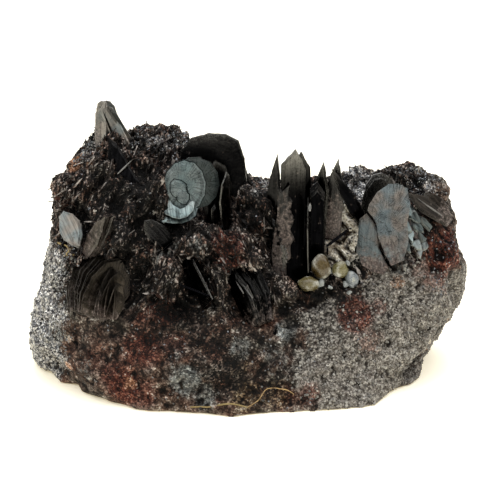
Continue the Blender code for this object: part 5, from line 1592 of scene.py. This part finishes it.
# The camera: its lens and sensor in millimetres, where it looks, how steeply and from how far.
LENS = 120
SENSOR = 36
TARGET = (0.0, 0.0, 0.0207)
TILT = radians(20)
DISTANCE = 0.28333
LAMP_TARGET = (0.0, 0.0, 0.02)
# The lamps: name, place, side, power, colour.
LIGHTS = (
    ("left softbox", (-0.45, -0.12, 0.22), 0.2, 0.7, "#fbfaf6"),
    ("right softbox", (0.5, 0.02, 0.28), 0.25, 0.6, "#fff8ee"),
)


def add_floor(colour):
    """A sheet of white paper under the specimen, lit a little by the room beneath it."""
    bm = bmesh.new()
    bmesh.ops.create_grid(bm, x_segments=1, y_segments=1, size=FLOOR_SIDE)
    mesh = bpy.data.meshes.new("floor")
    bm.to_mesh(mesh)
    bm.free()
    linked("floor", mesh)
    glow, strength = FLOOR_GLOW
    paper = Look("white paper").finish(
        Base_Color=colour, Roughness=0.9, Emission_Color=glow, Emission_Strength=strength
    )
    mesh.materials.append(paper)


def add_room(scene):
    """The white room round the specimen, brighter at its back."""
    world = bpy.data.worlds.new("soft light")
    world.use_nodes = True
    add = partial(node, world.node_tree)
    height = add("SeparateXYZ", {0: add("TexCoord", out="Generated")}, out=2)
    sky = add("ValToRGB", {0: height}, stops=SKY)
    behind = add("ValToRGB", {0: height.node.outputs[1]}, stops=BACKDROP)
    background = world.node_tree.nodes["Background"]
    lit = add("Mix", {0: 1.0, 6: sky, 7: behind}, out=2, data_type="RGBA", blend_type="ADD")
    put(background.inputs["Color"], lit)
    put(background.inputs["Strength"], SKY_STRENGTH)
    scene.world = world


def add_softbox(name, place, side, power, colour):
    """A square lamp that looks at the specimen."""
    lamp = bpy.data.lights.new(name, "AREA")
    lamp.shape = "SQUARE"
    lamp.size = side
    lamp.energy = power
    lamp.color = linear(colour)[:3]
    item = linked(name, lamp)
    item.location = place
    way = Vector(LAMP_TARGET) - Vector(place)
    item.rotation_euler = way.to_track_quat("-Z", "Y").to_euler()


def add_camera(scene):
    """The camera, in front of the specimen and a little above it."""
    lens = bpy.data.cameras.new("camera")
    lens.lens = LENS
    lens.sensor_width = SENSOR
    lens.clip_start = 0.01
    camera = linked("camera", lens)
    camera.location = Vector(TARGET) + DISTANCE * Vector((0, -cos(TILT), sin(TILT)))
    camera.rotation_euler = (pi / 2 - TILT, 0, 0)
    scene.camera = camera


class HEMATITE_OT_stage(Operator):
    """Set the floor, the soft light and the camera"""

    bl_idname = "hematite.stage"
    bl_label = "Stage"

    def execute(self, context):
        add_floor((*context.scene.hematite_specimen.floor_colour, 1.0))
        add_room(context.scene)
        for light in LIGHTS:
            add_softbox(*light)
        add_camera(context.scene)
        context.scene.view_settings.view_transform = "Standard"
        return {"FINISHED"}


class HEMATITE_PT_panel(Panel):
    """Lists the specimen's sizes and its makers"""

    bl_label = "Hematite specimen"
    bl_idname = "HEMATITE_PT_panel"
    bl_space_type = "VIEW_3D"
    bl_region_type = "UI"
    bl_category = "Hematite"

    def draw(self, context):
        settings = context.scene.hematite_specimen
        for name in settings.__annotations__:
            self.layout.prop(settings, name)
        for maker in MAKERS:
            self.layout.operator(maker.bl_idname)


MAKERS = (
    HEMATITE_OT_rock, HEMATITE_OT_plates, HEMATITE_OT_flakes, HEMATITE_OT_rubble, HEMATITE_OT_sugar,
    HEMATITE_OT_quartz, HEMATITE_OT_fibre, HEMATITE_OT_needles, HEMATITE_OT_stage,
)
CLASSES = (SpecimenSettings, *MAKERS, HEMATITE_PT_panel)


def register():
    for item in CLASSES:
        bpy.utils.register_class(item)
    bpy.types.Scene.hematite_specimen = PointerProperty(type=SpecimenSettings)


def unregister():
    del bpy.types.Scene.hematite_specimen
    for item in reversed(CLASSES):
        bpy.utils.unregister_class(item)


def main():
    register()
    for maker in MAKERS:
        group, name = maker.bl_idname.split(".")
        getattr(getattr(bpy.ops, group), name)()


if __name__ == "__main__":
    main()
